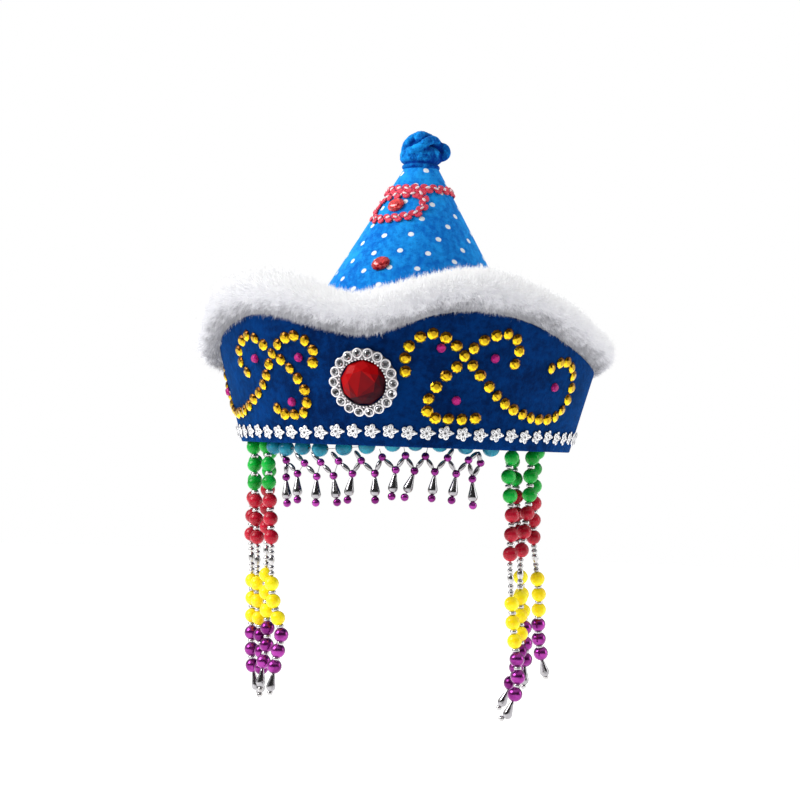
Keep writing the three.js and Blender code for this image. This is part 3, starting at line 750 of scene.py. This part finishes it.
def furPoint(turn, angle, radius):  # arrays in, arrays out; the angle runs round the roll
    edge = np.interp((turn + 180) % 360 - 180, turns, edgeTable)
    seat = edge + band["seatRise"]
    wave = 1 + fur["lump"] * np.sin(np.radians(turn) * fur["lumps"])
    aside = np.sin(np.radians(turn)) ** 2
    right = 0.5 + 0.5 * np.sin(np.radians(turn))
    swell = 1 + (fur["leftSwell"] + (fur["rightSwell"] - fur["leftSwell"]) * right) * aside
    # at the left temple the roll hangs down outside the band
    sag = fur["leftSag"] + (fur["rightSag"] - fur["leftSag"]) * right
    sag = sag * np.clip((aside - 0.6) / 0.35, 0, 1) * np.clip(0.35 + np.cos(angle), 0, 1)
    out = bandRadius(seat) - fur["centreIn"] + radius * wave * swell * np.cos(angle)
    up = edge + fur["rise"] + (fur["flat"] + radius * wave * np.sin(angle)) * swell - sag
    return np.stack([out * np.sin(np.radians(turn)), -out * np.cos(np.radians(turn)), up], -1) * mm


def markFurShade(piece, angles, shade=0.0):  # how high round the roll each corner lies, as painted shade for the fur: darker underneath, lighter on top
    high = piece.data.attributes.new("furPaintedShade", "FLOAT", "POINT")
    high.data.foreach_set("value", (0.5 + 0.5 * np.sin(angles) + shade).astype(np.float32))


def makeFurCore():
    piece = torus("furCore", 100, 10, 180, 20)
    angles = []
    for vertex in piece.data.vertices:
        turn = turnOf(vertex.co)
        angles.append(atan2(vertex.co.z, hypot(vertex.co.x, vertex.co.y) - 0.1))
        vertex.co = furPoint(np.array([turn]), np.array(angles[-1:]), fur["coreRadius"])[0]
    markFurShade(piece, np.array(angles))
    fixNormals(piece)
    smooth(piece)
    wear(piece, furHair)
    standsFor(piece, ["fur_trim"])


def makeFurHair(number):
    chance = np.random.default_rng(fur["seed"] + number)
    count, span = fur["hairs"], 360 / fur["pieces"]
    turn = (number + chance.random(count)) * span - 180
    angle = chance.random(count) * 2 * np.pi
    # each hair belongs to a tuft, and leans a little to the tuft's tip
    ring = fur["middleRadius"] * np.pi / 180
    cellTurn, cellAngle = fur["tuft"] / ring, fur["tuft"] / fur["tipRadius"]
    column, row = np.floor(turn / cellTurn), np.floor(angle / cellAngle)
    key = (column * 131 + row * 7919).astype(np.int64) % fur["tuftKinds"]
    tufts = np.random.default_rng(fur["seed"]).random((fur["tuftKinds"], 6))[key]
    tuftTurn = (column + 0.2 + 0.6 * tufts[:, 0]) * cellTurn
    tuftAngle = (row + 0.2 + 0.6 * tufts[:, 1]) * cellAngle
    root = furPoint(turn, angle, fur["rootRadius"])
    out = furPoint(turn, angle, fur["tipRadius"]) - root
    tuftRoot = furPoint(tuftTurn, tuftAngle, fur["rootRadius"])
    tuftOut = furPoint(tuftTurn, tuftAngle, fur["tipRadius"]) - tuftRoot
    lean = (tufts[:, 2:5] - 0.5) * 2 * fur["tuftLean"]
    # the fringe that hangs over the band is short
    fringe = np.clip(-np.sin(angle) - fur["fringeFrom"], 0, 0.5) * 2
    reach = fur["reach"] + fur["reachChance"] * tufts[:, 5] + fur["reachChance"] * chance.standard_normal(count)
    right = np.clip(np.sin(np.radians(turn)) * 4, 0, 1)
    reach = (reach * (1 - (fur["fringeCut"] + fur["rightCut"] * right) * fringe))[:, None]
    length = np.linalg.norm(tuftOut, axis=1, keepdims=True)
    tuftTip = tuftRoot + tuftOut + lean * length
    tip = root + out
    tip = tip + (tuftTip - tip) * fur["gather"] + chance.standard_normal((count, 3)) * fur["jitter"] * mm
    tip[:, 2] -= fur["droop"] * length[:, 0] * np.clip(np.cos(angle), 0, 1) * (1 - fringe)
    tip = root + (tip - root) * reach
    middle = root + out * 0.5 * reach + (tip - root) * 0.12
    along = tip - root
    side = np.cross(along, chance.standard_normal((count, 3)))
    side /= np.linalg.norm(side, axis=1, keepdims=True)
    half = side * fur["width"] / 2 * mm
    corners = np.stack([root - half, root + half, middle - half * 0.8, middle + half * 0.8, tip], 1)
    start = np.arange(count)[:, None] * 5
    quads = (start + [0, 1, 3, 2]).ravel()
    tips = (start + [2, 3, 4]).ravel()
    mesh = bpy.data.meshes.new("furHair")
    mesh.vertices.add(count * 5)
    mesh.vertices.foreach_set("co", corners.astype(np.float32).ravel())
    mesh.loops.add(count * 7)
    mesh.loops.foreach_set("vertex_index", np.concatenate([quads, tips]).astype(np.int32))
    mesh.polygons.add(count * 2)
    mesh.polygons.foreach_set("loop_start", np.concatenate(
        [np.arange(count) * 4, count * 4 + np.arange(count) * 3]).astype(np.int32))
    mesh.update(calc_edges=True)
    mesh.validate()
    piece = placed(f"furHair{number + 1}", mesh)
    # painted shade per corner: darker at the hairs' roots, lighter at their tips, plus a tone at random per
    # tuft
    shade = np.repeat(fur["tuftShade"] * (tufts[:, 5] - 0.5), 5) + np.tile(fur["bladeShade"], count)
    markFurShade(piece, np.repeat(angle, 5), shade)
    smooth(piece)
    wear(piece, furHair)
    standsFor(piece, ["fur_trim"])


makeFurCore()
for number in range(fur["pieces"]):
    makeFurHair(number)
print("fur made")


# scalloped red lace round the crown, and its loop

lace = {
    "height": 140.3, "tilt": 0.3, "tiltTurn": 5, "pitch": 5.2, "lift": 0.35,
    "lobe": (2.2, 1.55, 0.85), "lobeOut": 1.45, "core": (2.7, 0.9, 0.6),
    "stitches": [  # half size, place and turn of the white stitches on each kind of motif
        [((1.6, 0.8, 0.5), (0.5, 0.35, 1.25), 14)],
        [((1.5, 0.6, 0.5), (-0.3, -0.1, 1.25), -22), ((0.7, 0.5, 0.4), (1.6, 0.8, 1.2), 40)],
        [((1.4, 0.9, 0.5), (0.2, 0.1, 1.25), 40)],
    ],
    "loop": [(3.5, 137.3), (-10, 137.2), (-24, 136.8), (-38, 136.2), (-50, 135.2), (-57.5, 132.4),
             (-58.5, 128.6), (-54, 125), (-45, 123.3), (-26, 122.9), (-6, 123.8), (8, 125.4),
             (16.5, 128.6), (19.5, 133), (15, 137.6)],
}


def rounded(name, size, at, finish, segments=12, rings=8, dent=0.0, spin=0.0):  # a flattened pad
    bpy.ops.mesh.primitive_uv_sphere_add(segments=segments, ring_count=rings, radius=1, location=(0, 0, 0))
    piece = newest(name)
    piece.scale = Vector(size) * mm
    piece.location = Vector(at) * mm
    piece.rotation_euler.z = radians(spin)
    bpy.ops.object.transform_apply(location=True, rotation=True, scale=True)
    if dent:
        top = (at[2] + size[2] * 0.8) * mm
        pickParts(piece, "VERT", lambda ends: ends[0].z > top)
        bpy.ops.transform.translate(value=(0, 0, -dent * mm))
        leaveEdit()
    smooth(piece)
    wear(piece, finish)
    return piece


def makeLace():
    quarter = lace["pitch"] / 4
    motifs = []
    for stitches in lace["stitches"]:
        motifs.append(joined([
            rounded("laceLobe", lace["lobe"], (-quarter, lace["lobeOut"], 0.5), laceRed, dent=0.35),
            rounded("laceLobe", lace["lobe"], (quarter, -lace["lobeOut"], 0.5), laceRed, dent=0.35),
            rounded("laceCore", lace["core"], (0, 0, 0.5), laceRed, 10, 6),
            *[rounded("laceStitch", size, at, laceStitch, 8, 6, spin=spin) for size, at, spin in stitches],
        ], "laceMotif"))
    ring = [(turn, lace["height"] + lace["tilt"] * sin(radians(turn - lace["tiltTurn"])))
            for turn in range(-180, 181, 3)]
    loop = [(p.x, p.y) for p in smoothRoute([Vector((t, h, 0)) for t, h in lace["loop"]], 8)]
    places = []
    for closed, rows in ((True, ring), (False, loop)):
        line = [seatOn("crown", turn, height, lace["lift"]).translation for turn, height in rows]
        length = sum((b - a).length for a, b in zip(line, line[1:]))
        count = round(length / (lace["pitch"] * mm))
        for step in range(count + (0 if closed else 1)):
            point, ahead = alongRoute(line, step / count * length)
            turn = turnOf(point - leanShift(point.z / mm))
            out = Vector(seatOn("crown", turn, point.z / mm).col[2][:3])
            up = out.cross(ahead).normalized()
            places.append(axes(ahead, up, ahead.cross(up), point))
    piece = joined([copies(motif, places[kind::len(motifs)], "lacePart")
                    for kind, motif in enumerate(motifs)], "crownLace")
    drop(*motifs)
    standsFor(piece, ["crown_lace"])


makeLace()
print("lace made")


# cut stones

def cutStone(name, length, breadth, steps, sides, finish, seed, tone, phase=0.0):
    bpy.ops.mesh.primitive_circle_add(vertices=sides, radius=0.5, fill_type="NGON",
                                      rotation=(0, 0, radians(phase)))
    model = newest(name)
    bpy.ops.object.transform_apply(location=False, rotation=True, scale=False)
    pickParts(model, "FACE", lambda corners: True)
    for up, grow, twist in steps:
        stepFace(up * mm, grow, twist * pi / sides)
    bpy.ops.mesh.select_all(action="SELECT")
    bpy.ops.transform.resize(value=(length * mm, breadth * mm, 1), center_override=(0, 0, 0))
    bpy.ops.mesh.quads_convert_to_tris()
    bpy.ops.mesh.normals_make_consistent(inside=False)
    leaveEdit()
    # how light each facet shows: by chance, and by painted light and reflection from where it looks and where
    # it lies
    chance = np.random.default_rng(seed)
    tones = []
    for face in model.data.polygons:
        value = tone["mid"] + tone.get("spread", 0.1) * chance.standard_normal()
        for axis, size in enumerate((length, breadth)):
            value += tone.get("looks", (0, 0))[axis] * face.normal[axis]
            value += tone.get("lies", (0, 0))[axis] * face.center[axis] / (size * mm / 2)
        tones.append(tone["table"] if "table" in tone and face.normal.z > 0.97 else value)
    model.data.attributes.new("facetToneAndPaintedLight", "FLOAT", "FACE").data.foreach_set(
        "value", np.clip(tones, 0, 1).astype(np.float32))
    wear(model, finish)
    return model


crownStones = [
    {"node": "crown_gem_upper", "name": "crownStoneUpper", "turn": -19.8, "height": 130.8,
     "length": 9.8, "breadth": 8.2, "roll": 20, "seed": 3},
    {"node": "crown_gem_lower", "name": "crownStoneLower", "turn": -13, "height": 97.1,
     "length": 10.5, "breadth": 8.4, "roll": 20, "seed": 5},
]
for row in crownStones:
    model = cutStone(row["name"], row["length"], row["breadth"],
                     [(0.8, 1, 0), (1.0, 0.84, 1), (0.7, 0.74, 1), (0.25, 0.6, 1)], 12,
                     laceStoneRed, row["seed"], {"mid": 0.4, "spread": 0.4})
    model.data.transform(seatOn("crown", row["turn"], row["height"], 0.3, row["roll"]))
    standsFor(model, [row["node"]])

magentaStones = {
    "right": [(21.9, 50.3), (38, 46.4), (27.8, 24.4), (62.7, 33.8)],
    "left": [(-20, 43.8), (-37.9, 43.4), (-24.8, 21.3), (-70.6, 27)],
}
for side, rows in magentaStones.items():
    for number, (turn, height) in enumerate(rows, 1):
        model = cutStone(f"magentaStone{side.title()}{number}", 4.9, 4.9,
                         [(0.5, 1, 0), (0.9, 0.8, 1), (0.6, 0.68, 1)], 8, magentaFoil, number,
                         {"mid": 0.5, "spread": 0.35})
        model.data.transform(seatOn("band", turn, height, 0.3, number * 13))
        standsFor(model, [f"magenta_stone_{side}_{number}"])
print("crown and magenta stones made")


# scrolls of gold stones

goldStones = {
    "right": [
        (12.2, 38), (12, 44.6), (13, 50.6), (16, 55.3), (19.4, 57.2), (23, 55.5), (26.2, 51.6),
        (28.8, 46.9), (31.6, 42.2), (34.3, 37.5), (37.7, 32.1), (40.8, 27.6), (44.1, 23.9),
        (47.7, 21.1), (51.7, 18.8), (55.4, 17.4), (59.5, 16.7), (63.7, 17), (67.6, 18.7),
        (70.5, 22.2), (72.5, 27.9), (72.8, 34.2), (71.5, 40.4), (69.3, 44.6), (66, 47.1),
        (62.8, 46.5), (59.3, 43.3),
        (44.9, 44.1), (45.5, 50.9), (44.1, 56.4), (41, 58.9), (37.4, 57.8), (34, 55), (31.3, 50.9),
        (26.9, 41.2), (24, 36.5), (21.4, 30.8), (19.4, 24.7), (19.2, 18.5), (21.8, 15.2),
        (26, 15), (30.3, 15.1), (34.7, 15.8),
    ],
    "left": [
        (-15.5, 41.3), (-15.1, 47.4), (-17.4, 52.4), (-20.9, 54.7), (-24.1, 53.7), (-27.3, 50.4),
        (-30.1, 45.8), (-32.2, 40.4), (-34.3, 34.7), (-36.7, 30), (-39.9, 25.8), (-43.7, 22.4),
        (-47.7, 19.2), (-51.9, 16.8), (-55.8, 15.6), (-59.8, 15.2), (-63.8, 15.6), (-67.6, 17.2),
        (-71, 20.2), (-73.8, 24.6), (-75.8, 30.2), (-77.8, 35.6), (-80.8, 39.4), (-84.6, 40.6),
        (-88.2, 38.8), (-90.6, 34.6), (-91.6, 29.2),
        (-44, 36.4), (-46.7, 42), (-46.4, 47.6), (-43.4, 52.7), (-40.3, 55.2), (-36.5, 53.7),
        (-33.2, 50.3), (-27, 42.7), (-24, 38.3), (-21.5, 33.2), (-19.5, 27.4), (-19.3, 20.9),
        (-21, 16), (-24.7, 14.8), (-28.7, 15), (-31.8, 17.8),
    ],
}
goldStone = {"width": 6.3, "lift": 0.05, "tip": 9, "sides": 9,
             "steps": [(0.4, 1, 0), (0.85, 0.68, 1), (0.25, 0.7, 1)],
             # painted light on the gold facets: those that look up and lie high are darker, those that look
             # down are brighter
             "tone": {"mid": 0.47, "spread": 0.17, "looks": (-0.25, -1.0), "lies": (0, -0.35)}}


def tipped(index, most):  # no two stones lie quite flat in their glue
    return (Matrix.Rotation(radians(most * sin(index * 2.4)), 4, "X")
            @ Matrix.Rotation(radians(most * cos(index * 1.7)), 4, "Y"))


models = [cutStone("goldStone", goldStone["width"], goldStone["width"], goldStone["steps"],
                   goldStone["sides"], goldFoil, seed, goldStone["tone"], seed * 11) for seed in range(4)]
for side, rows in goldStones.items():
    groups = []
    for number, model in enumerate(models):
        places = [seatOn("band", turn, height, goldStone["lift"]) @ tipped(index, goldStone["tip"])
                  for index, (turn, height) in enumerate(rows) if index % len(models) == number]
        groups.append(copies(model, places, "goldGroup"))
    standsFor(joined(groups, f"goldScroll{side.title()}"), [f"gold_scroll_{side}"])
drop(*models)
print("gold scrolls made")


# framed gem at the forehead

setting = {
    "turn": 0.3, "height": 32.3, "lift": 0.3, "stones": 18, "stoneRing": 15.4,
    "cup": (2.3, 0.42), "stone": 3.9, "beads": 44, "beadRing": 12.35, "bead": 0.5,
    "plate": [(12.2, 0), (16.9, 0), (17.1, 0.9), (16.2, 1.6), (12.8, 2.6), (12.0, 2.4)],
}
gem = {
    "radius": 11.7, "sides": 9,
    "steps": [(2.6, 1, 0), (2.0, 0.84, 1), (1.5, 0.72, 1)],
    # painted light on the gem: facets that look to the left and up, and lie to the upper left, are brighter
    "tone": {"mid": 0.5, "spread": 0.12, "looks": (-0.35, 0.25), "lies": (-0.35, 0.8)},
}


def ringModel(name, rows, sides, finish):  # a closed section of radius and height, turned round +Z
    points = [Vector((radius * mm, 0, height * mm)) for radius, height in rows]
    mesh = bpy.data.meshes.new(name)
    mesh.from_pydata(points, [(i, (i + 1) % len(points)) for i in range(len(points))], [])
    piece = placed(name, mesh)
    pickParts(piece, "EDGE", lambda ends: True)
    bpy.ops.mesh.spin(steps=sides, angle=2 * pi, center=(0, 0, 0), axis=(0, 0, 1), dupli=False)
    bpy.ops.mesh.select_all(action="SELECT")
    bpy.ops.mesh.remove_doubles(threshold=0.00001)
    bpy.ops.mesh.normals_make_consistent(inside=False)
    leaveEdit()
    smooth(piece, 35)
    wear(piece, finish)
    return piece


def ringPlaces(count, radius, height, phase=0.0, tilt=0.0):
    return [Matrix.Rotation(2 * pi * (i + phase) / count, 4, "Z")
            @ Matrix.Translation((radius * mm, 0, height * mm))
            @ Matrix.Rotation(radians(tilt), 4, "Y") for i in range(count)]


def makeSetting():
    plate = ringModel("settingPlate", setting["plate"], 72, settingMetal)
    cup = torus("settingCup", *setting["cup"], 16, 6)
    smooth(cup)
    wear(cup, cupSilver)
    # painted reflection: each small stone's flat top is set dark
    stone = cutStone("settingStone", setting["stone"], setting["stone"],
                     [(0.5, 1, 0), (0.9, 0.7, 1), (0.3, 0.7, 1)], 7, crystalFoil, 11,
                     {"mid": 0.55, "spread": 0.5, "table": 0})
    bead = rounded("settingBead", (setting["bead"],) * 3, (0, 0, 0), cupSilver, 8, 5)
    parts = [
        plate,
        copies(cup, ringPlaces(setting["stones"], setting["stoneRing"], 2.5, 0, 12), "settingCups"),
        copies(stone, ringPlaces(setting["stones"], setting["stoneRing"], 2.0, 0, 12), "settingStones"),
        copies(bead, ringPlaces(setting["beads"], setting["beadRing"], 3.3), "settingBeads"),
    ]
    piece = joined(parts, "frontSetting")
    drop(cup, stone, bead)
    piece.data.transform(seatOn("band", setting["turn"], setting["height"], setting["lift"]))
    standsFor(piece, ["front_setting"])

    model = cutStone("frontGem", gem["radius"] * 2, gem["radius"] * 2, gem["steps"], gem["sides"], redFoil,
                     21, gem["tone"])
    model.data.transform(seatOn("band", setting["turn"], setting["height"], setting["lift"]))
    standsFor(model, ["front_gem"])


makeSetting()
print("setting and gem made")


# braid of metal flowers along the rim

flower = {"count": 62, "height": 7.7, "leftLow": 1.9, "leftFrom": 24, "lift": 0.85,
          "petals": 5, "petalRing": 2.1, "petal": (1.8, 1.55, 0.5), "shadeMark": (0.75, 0.3, 0.16),
          "hub": (0.95, 0.3), "pitShade": (0.7, 0.7, 0.2), "tip": (1.2, 0.75, 0.4)}


def makeBraid():
    _, wide, thick = flower["petal"]
    # the dark pads on each petal and in the hub are painted shade, set where the petals' dimples and the hub's
    # hollow lie in shade
    petal = joined([
        rounded("petal", flower["petal"], (0, 0, 0), braidSilver, 10, 6),
        rounded("petalShadeMark", flower["shadeMark"], (0.1, wide * 0.3, thick * 0.86), braidShade, 6, 4),
        rounded("petalShadeMark", flower["shadeMark"], (0.1, -wide * 0.3, thick * 0.86), braidShade, 6, 4),
    ], "petal")
    petals = copies(petal, ringPlaces(flower["petals"], flower["petalRing"], 0), "petals")
    hub = torus("hub", *flower["hub"], 10, 5, (0, 0, 0.35 * mm))
    bpy.ops.object.transform_apply(location=True, rotation=True, scale=True)
    smooth(hub)
    wear(hub, braidSilver)
    pitShade = rounded("hubPitShade", flower["pitShade"], (0, 0, 0.4), braidShade, 8, 4)
    tip = rounded("petalTip", flower["tip"], (3.7, 0, 0), braidSilver, 8, 4)
    model = joined([petals, hub, pitShade, tip], "flowerModel")
    drop(petal)
    pitch = 360 / flower["count"]
    places = []
    for index in range(flower["count"]):
        turn = (index + 0.35) * pitch
        left = -sin(radians(turn)) / sin(radians(flower["leftFrom"]))
        height = flower["height"] - flower["leftLow"] * min(1, max(0, left)) + 0.25 * sin(index * 1.9)
        places.append(seatOn("band", turn, height, flower["lift"], 4 * sin(index * 2.3)))
    piece = copies(model, places, "flowerBraid")
    drop(model)
    standsFor(piece, ["flower_braid"])


makeBraid()
print("flower braid made")


# beads

def ballRows(radius, half, hole, steps=9):  # a round bead with a dimple where its thread goes in
    low = acos(min(1, hole / radius))
    rows = [(hole * 0.7, -half * sin(low) + radius * 0.22)]
    rows += [(radius * cos(a), half * sin(a)) for a in np.linspace(-low, low, steps)]
    rows.append((hole * 0.7, half * sin(low) - radius * 0.22))
    return rows


beadSizes = {
    "large": {"radius": 3.95, "half": 3.95, "hole": 0.75},
    "string": {"radius": 4.15, "half": 4.5, "hole": 0.75},
    "small": {"radius": 2.1, "half": 2.05, "hole": 0.45},
    "spacer": [(0.8, -0.7), (1.4, -1.1), (1.95, -0.7), (2.1, 0), (1.95, 0.7), (1.4, 1.1), (0.8, 0.7)],
    "rice": {"radius": 1.3, "half": 3.2, "hole": 0.35},
    "oval": {"radius": 1.75, "half": 3.3, "hole": 0.5},
    "link": {"radius": 1.65, "half": 1.6, "hole": 0.4},
    "drop": [(0.5, -0.5), (0.85, 0), (1.15, 1.2), (1.65, 3.4), (2.25, 5.6), (2.55, 7.0), (2.4, 8.2),
             (1.75, 9.1), (0.9, 9.55), (0.45, 9.3)],
}


def beadModel(name, size, sides, finish):
    return turnedModel(name, ballRows(**size) if isinstance(size, dict) else size, sides, finish)


beads = {name: beadModel(name + "Bead", beadSizes[size], sides, finish) for name, size, sides, finish in (
    ("turquoise", "string", 20, beadTurquoise), ("green", "large", 16, beadGreen),
    ("red", "large", 16, beadRed), ("yellow", "large", 16, beadYellow), ("purple", "large", 16, beadPurple),
    ("small", "small", 12, beadPurple), ("spacer", "spacer", 12, linkSilver), ("rice", "rice", 10, dropSilver),
    ("oval", "oval", 12, linkSilver), ("link", "link", 14, linkSilver), ("drop", "drop", 20, dropSilver),
)}
print("bead models ready")


# turquoise string inside the rim

turquoise = {
    "radius": 83, "threadSide": 87, "ends": ((-3.4, 3.2), (3.4, 5.2)), "thread": 0.35,
    "beads": [(-43.6, -2.2), (-35.8, -2.9), (-27.1, -2), (-19.1, -2.5), (-9.4, -1.5), (-0.8, -0.3),
              (8.4, 1.3), (16.5, 2.1), (25.2, 2), (34.8, 1.3), (45.2, 0.5)],
}


def makeTurquoiseString():
    spots = [spot(turn, turquoise["radius"], height) for turn, height in turquoise["beads"]]
    ends = [spot(turquoise["beads"][end][0] + aside, turquoise["threadSide"], height)
            for end, (aside, height) in zip((0, -1), turquoise["ends"])]
    line = smoothRoute([ends[0], *spots, ends[1]], 12)
    places = [facing(bead, (after - before).normalized())
              for before, bead, after in zip([ends[0], *spots], spots, [*spots[1:], ends[1]])]
    piece = joined([copies(beads["turquoise"], places, "turquoiseBeads"),
                    thread("turquoiseThread", [line], turquoise["thread"], stringThread)],
                   "turquoiseString")
    standsFor(piece, ["turquoise_string"])


makeTurquoiseString()


# forehead net of rice beads, small beads and drops

net = {
    "radius": 82.4, "thread": 0.4, "dropGap": 2.2, "endBead": 13.6, "hookDown": 2.0,
    "crossings": [(-36.1, -9.2), (-26.3, -10.2), (-18.9, -9.4), (-11.5, -8.4), (-2.8, -7.7), (4.8, -5.6),
                  (13.1, -4.4), (20.2, -4.4), (28.3, -4.8), (36.3, -5.6), (41.2, -6.9)],
    "drops": [(-35.8, -18, 1.6), (-29.6, -15.8, 0.6), (-20.4, -16.9, 0), (-13.3, -16.1, 2.6),
              (-5.9, -14.6, -2.2), (2.4, -14.1, 0.6), (9.8, -11.9, -1.6), (16.5, -12.1, -4.6),
              (23.8, -12.2, -1.2), (31.7, -12.9, -2), (38.1, -15.3, 0.8)],
    "bareLegs": (1, 2, 3),
}


def makeNet():
    small, rice, drops, threads = [], [], [], []
    crossings = [spot(turn, net["radius"], height) for turn, height in net["crossings"]]
    heads = [spot(turn, net["radius"], height) for turn, height, lean in net["drops"]]
    string = turquoise["beads"]
    for index, crossing in enumerate(crossings):
        left, right = string[min(index, len(string) - 2)], string[min(index, len(string) - 2) + 1]
        hook = spot((left[0] + right[0]) / 2, turquoise["radius"],
                    (left[1] + right[1]) / 2 - net["hookDown"])
        legs = [(hook, crossing)]
        if index + 1 < len(heads):
            legs.append((crossing, heads[index + 1]))
        if index not in net["bareLegs"]:
            legs.append((crossing, heads[index]))
        rice += [facing((a + b) / 2, b - a) for a, b in legs if (b - a).length > 5 * mm]
        threads.append([hook, crossing, heads[index]])
        if index + 1 < len(heads):
            threads.append([crossing, heads[index + 1]])
        small.append(facing(crossing, Vector((0, 0, 1)), 30 * index))
    for (turn, height, lean), head in zip(net["drops"], heads):
        aside = Vector((cos(radians(turn)), sin(radians(turn)), 0)) * lean * mm
        tail = head + aside + Vector((0, 0, -net["endBead"] * mm))
        ahead = (tail - head).normalized()
        small += [facing(head, ahead), facing(tail, ahead)]
        drops.append(facing(head + ahead * net["dropGap"] * mm, ahead))
        threads.append([head, tail])
    piece = joined([
        copies(beads["small"], small, "netBeads"), copies(beads["rice"], rice, "netRice"),
        copies(beads["drop"], drops, "netDrops"),
        thread("netThread", threads, net["thread"], stringThread),
    ], "foreheadNet")
    standsFor(piece, ["forehead_net"])


makeNet()
print("turquoise string and net made")


# eight long strands

strand = {
    "topSide": 87.2, "topHeight": 5.4, "thread": 0.7,
    "upper": [0, 10.1, 20.2, 30.3, 40.4, 50.5], "lower": [76.3, 86, 95.7, 105.2, 114.3, 123.4],
    "links": [56.2, 59.3, 67.6, 70.7], "oval": 63.4, "drop": 127.6, "ball": 138.6,
}
strands = [
    {"name": "left_1", "turn": -50.2, "radius": 83, "head": -2.1, "spacing": 0.96,
     "sway": [(0, 0, 0), (22, 2.3, 0), (50, 4.6, 0), (80, 6.5, 0), (100, 12, 0), (112, 9.3, 1), (140, 4.8, 3)]},
    {"name": "left_2", "turn": -56, "radius": 80.5, "head": 4, "spacing": 0.99,
     "sway": [(0, 0.5, 0), (40, 2, 0), (80, 3.2, 0), (110, 4.8, 0), (124, 2.9, 0), (144, 1.4, 1)]},
    {"name": "left_3", "turn": -63, "radius": 83, "head": -2.9, "spacing": 0.965,
     "sway": [(0, -1.6, 0), (20, -0.4, 0), (50, 2.2, 0), (80, 3.6, 0), (112, 7, 0), (142, 6.6, 0)]},
    {"name": "left_4", "turn": -70, "radius": 83.2, "head": -1, "spacing": 0.98,
     "sway": [(0, 0, 0), (50, 0.2, 0), (80, 1.9, 0), (122, 3.8, 0), (143, 9.4, 4)]},
    {"name": "right_1", "turn": 55, "radius": 83, "head": -3.6, "spacing": 1,
     "sway": [(0, 0, 0), (10, -1.4, 0), (31, 1.2, 0), (52, 0.9, 0), (88, 3.7, 0), (114, 7.1, 0),
              (126, 4.8, 0), (133, 1.2, 1), (141, -6.4, 2)]},
    {"name": "right_2", "turn": 66.9, "radius": 83, "head": -3.4, "spacing": 0.97,
     "sway": [(0, 0, 0), (22, -1, 0), (50, -4, -1.5), (76, -3.6, -2), (102, -3, -2), (118, -7, -1),
              (140, -17, 0)]},
    {"name": "right_3", "turn": 70, "radius": 71, "head": 3, "spacing": 0.93,
     "sway": [(0, -2, 0), (20, -0.2, 0), (45, 1.6, 0), (76, 4.6, 0), (106, 7.6, 1), (136, 7, 2)]},
    {"name": "right_4", "turn": 73, "radius": 80, "head": -0.5, "spacing": 0.9,
     "sway": [(0, 1, 0), (26, 0, 1), (46, -0.2, 3), (76, 2.4, 11), (100, 2, 18), (126, 6.6, 25)]},
]


def makeStrand(row):
    top = spot(row["turn"], strand["topSide"], strand["topHeight"])
    hang = spot(row["turn"], row["radius"], row["head"])
    points = [hang + Vector((aside, back, -down)) * mm for down, aside, back in row["sway"]]
    lead = max((points[0] - top).length, 4.95 * mm)
    line = smoothRoute([top, *points])

    def at(down, spin=0):
        point, ahead = alongRoute(line, lead + down * row["spacing"] * mm)
        return facing(point, ahead, spin)

    upper, lower = strand["upper"], strand["lower"]
    between = [(a + b) / 2 for places in (upper, lower) for a, b in zip(places, places[1:])]
    end, _ = alongRoute(line, lead + strand["ball"] * row["spacing"] * mm)
    rows = {"green": upper[:3], "red": upper[3:], "yellow": lower[:3], "purple": lower[3:]}
    parts = [copies(beads[name], [at(d, 20 * d) for d in downs], name) for name, downs in rows.items()]
    rows = {"spacer": between, "link": [*strand["links"], strand["ball"]], "oval": [strand["oval"]],
            "drop": [strand["drop"]]}
    parts += [copies(beads[name], [at(d) for d in downs], name) for name, downs in rows.items()]
    kept, travelled = [line[0]], 0
    for here, ahead in zip(line, line[1:]):
        travelled += (ahead - here).length
        if travelled > lead + strand["ball"] * row["spacing"] * mm:
            break
        kept.append(ahead)
    parts.append(thread("strandThread", [[*kept, end]], strand["thread"], stringThread))
    side, number = row["name"].split("_")
    standsFor(joined(parts, f"strand{side.title()}{number}"), [f"strand_{row['name']}"])


for row in strands:
    makeStrand(row)
drop(*beads.values())
print("strands made")
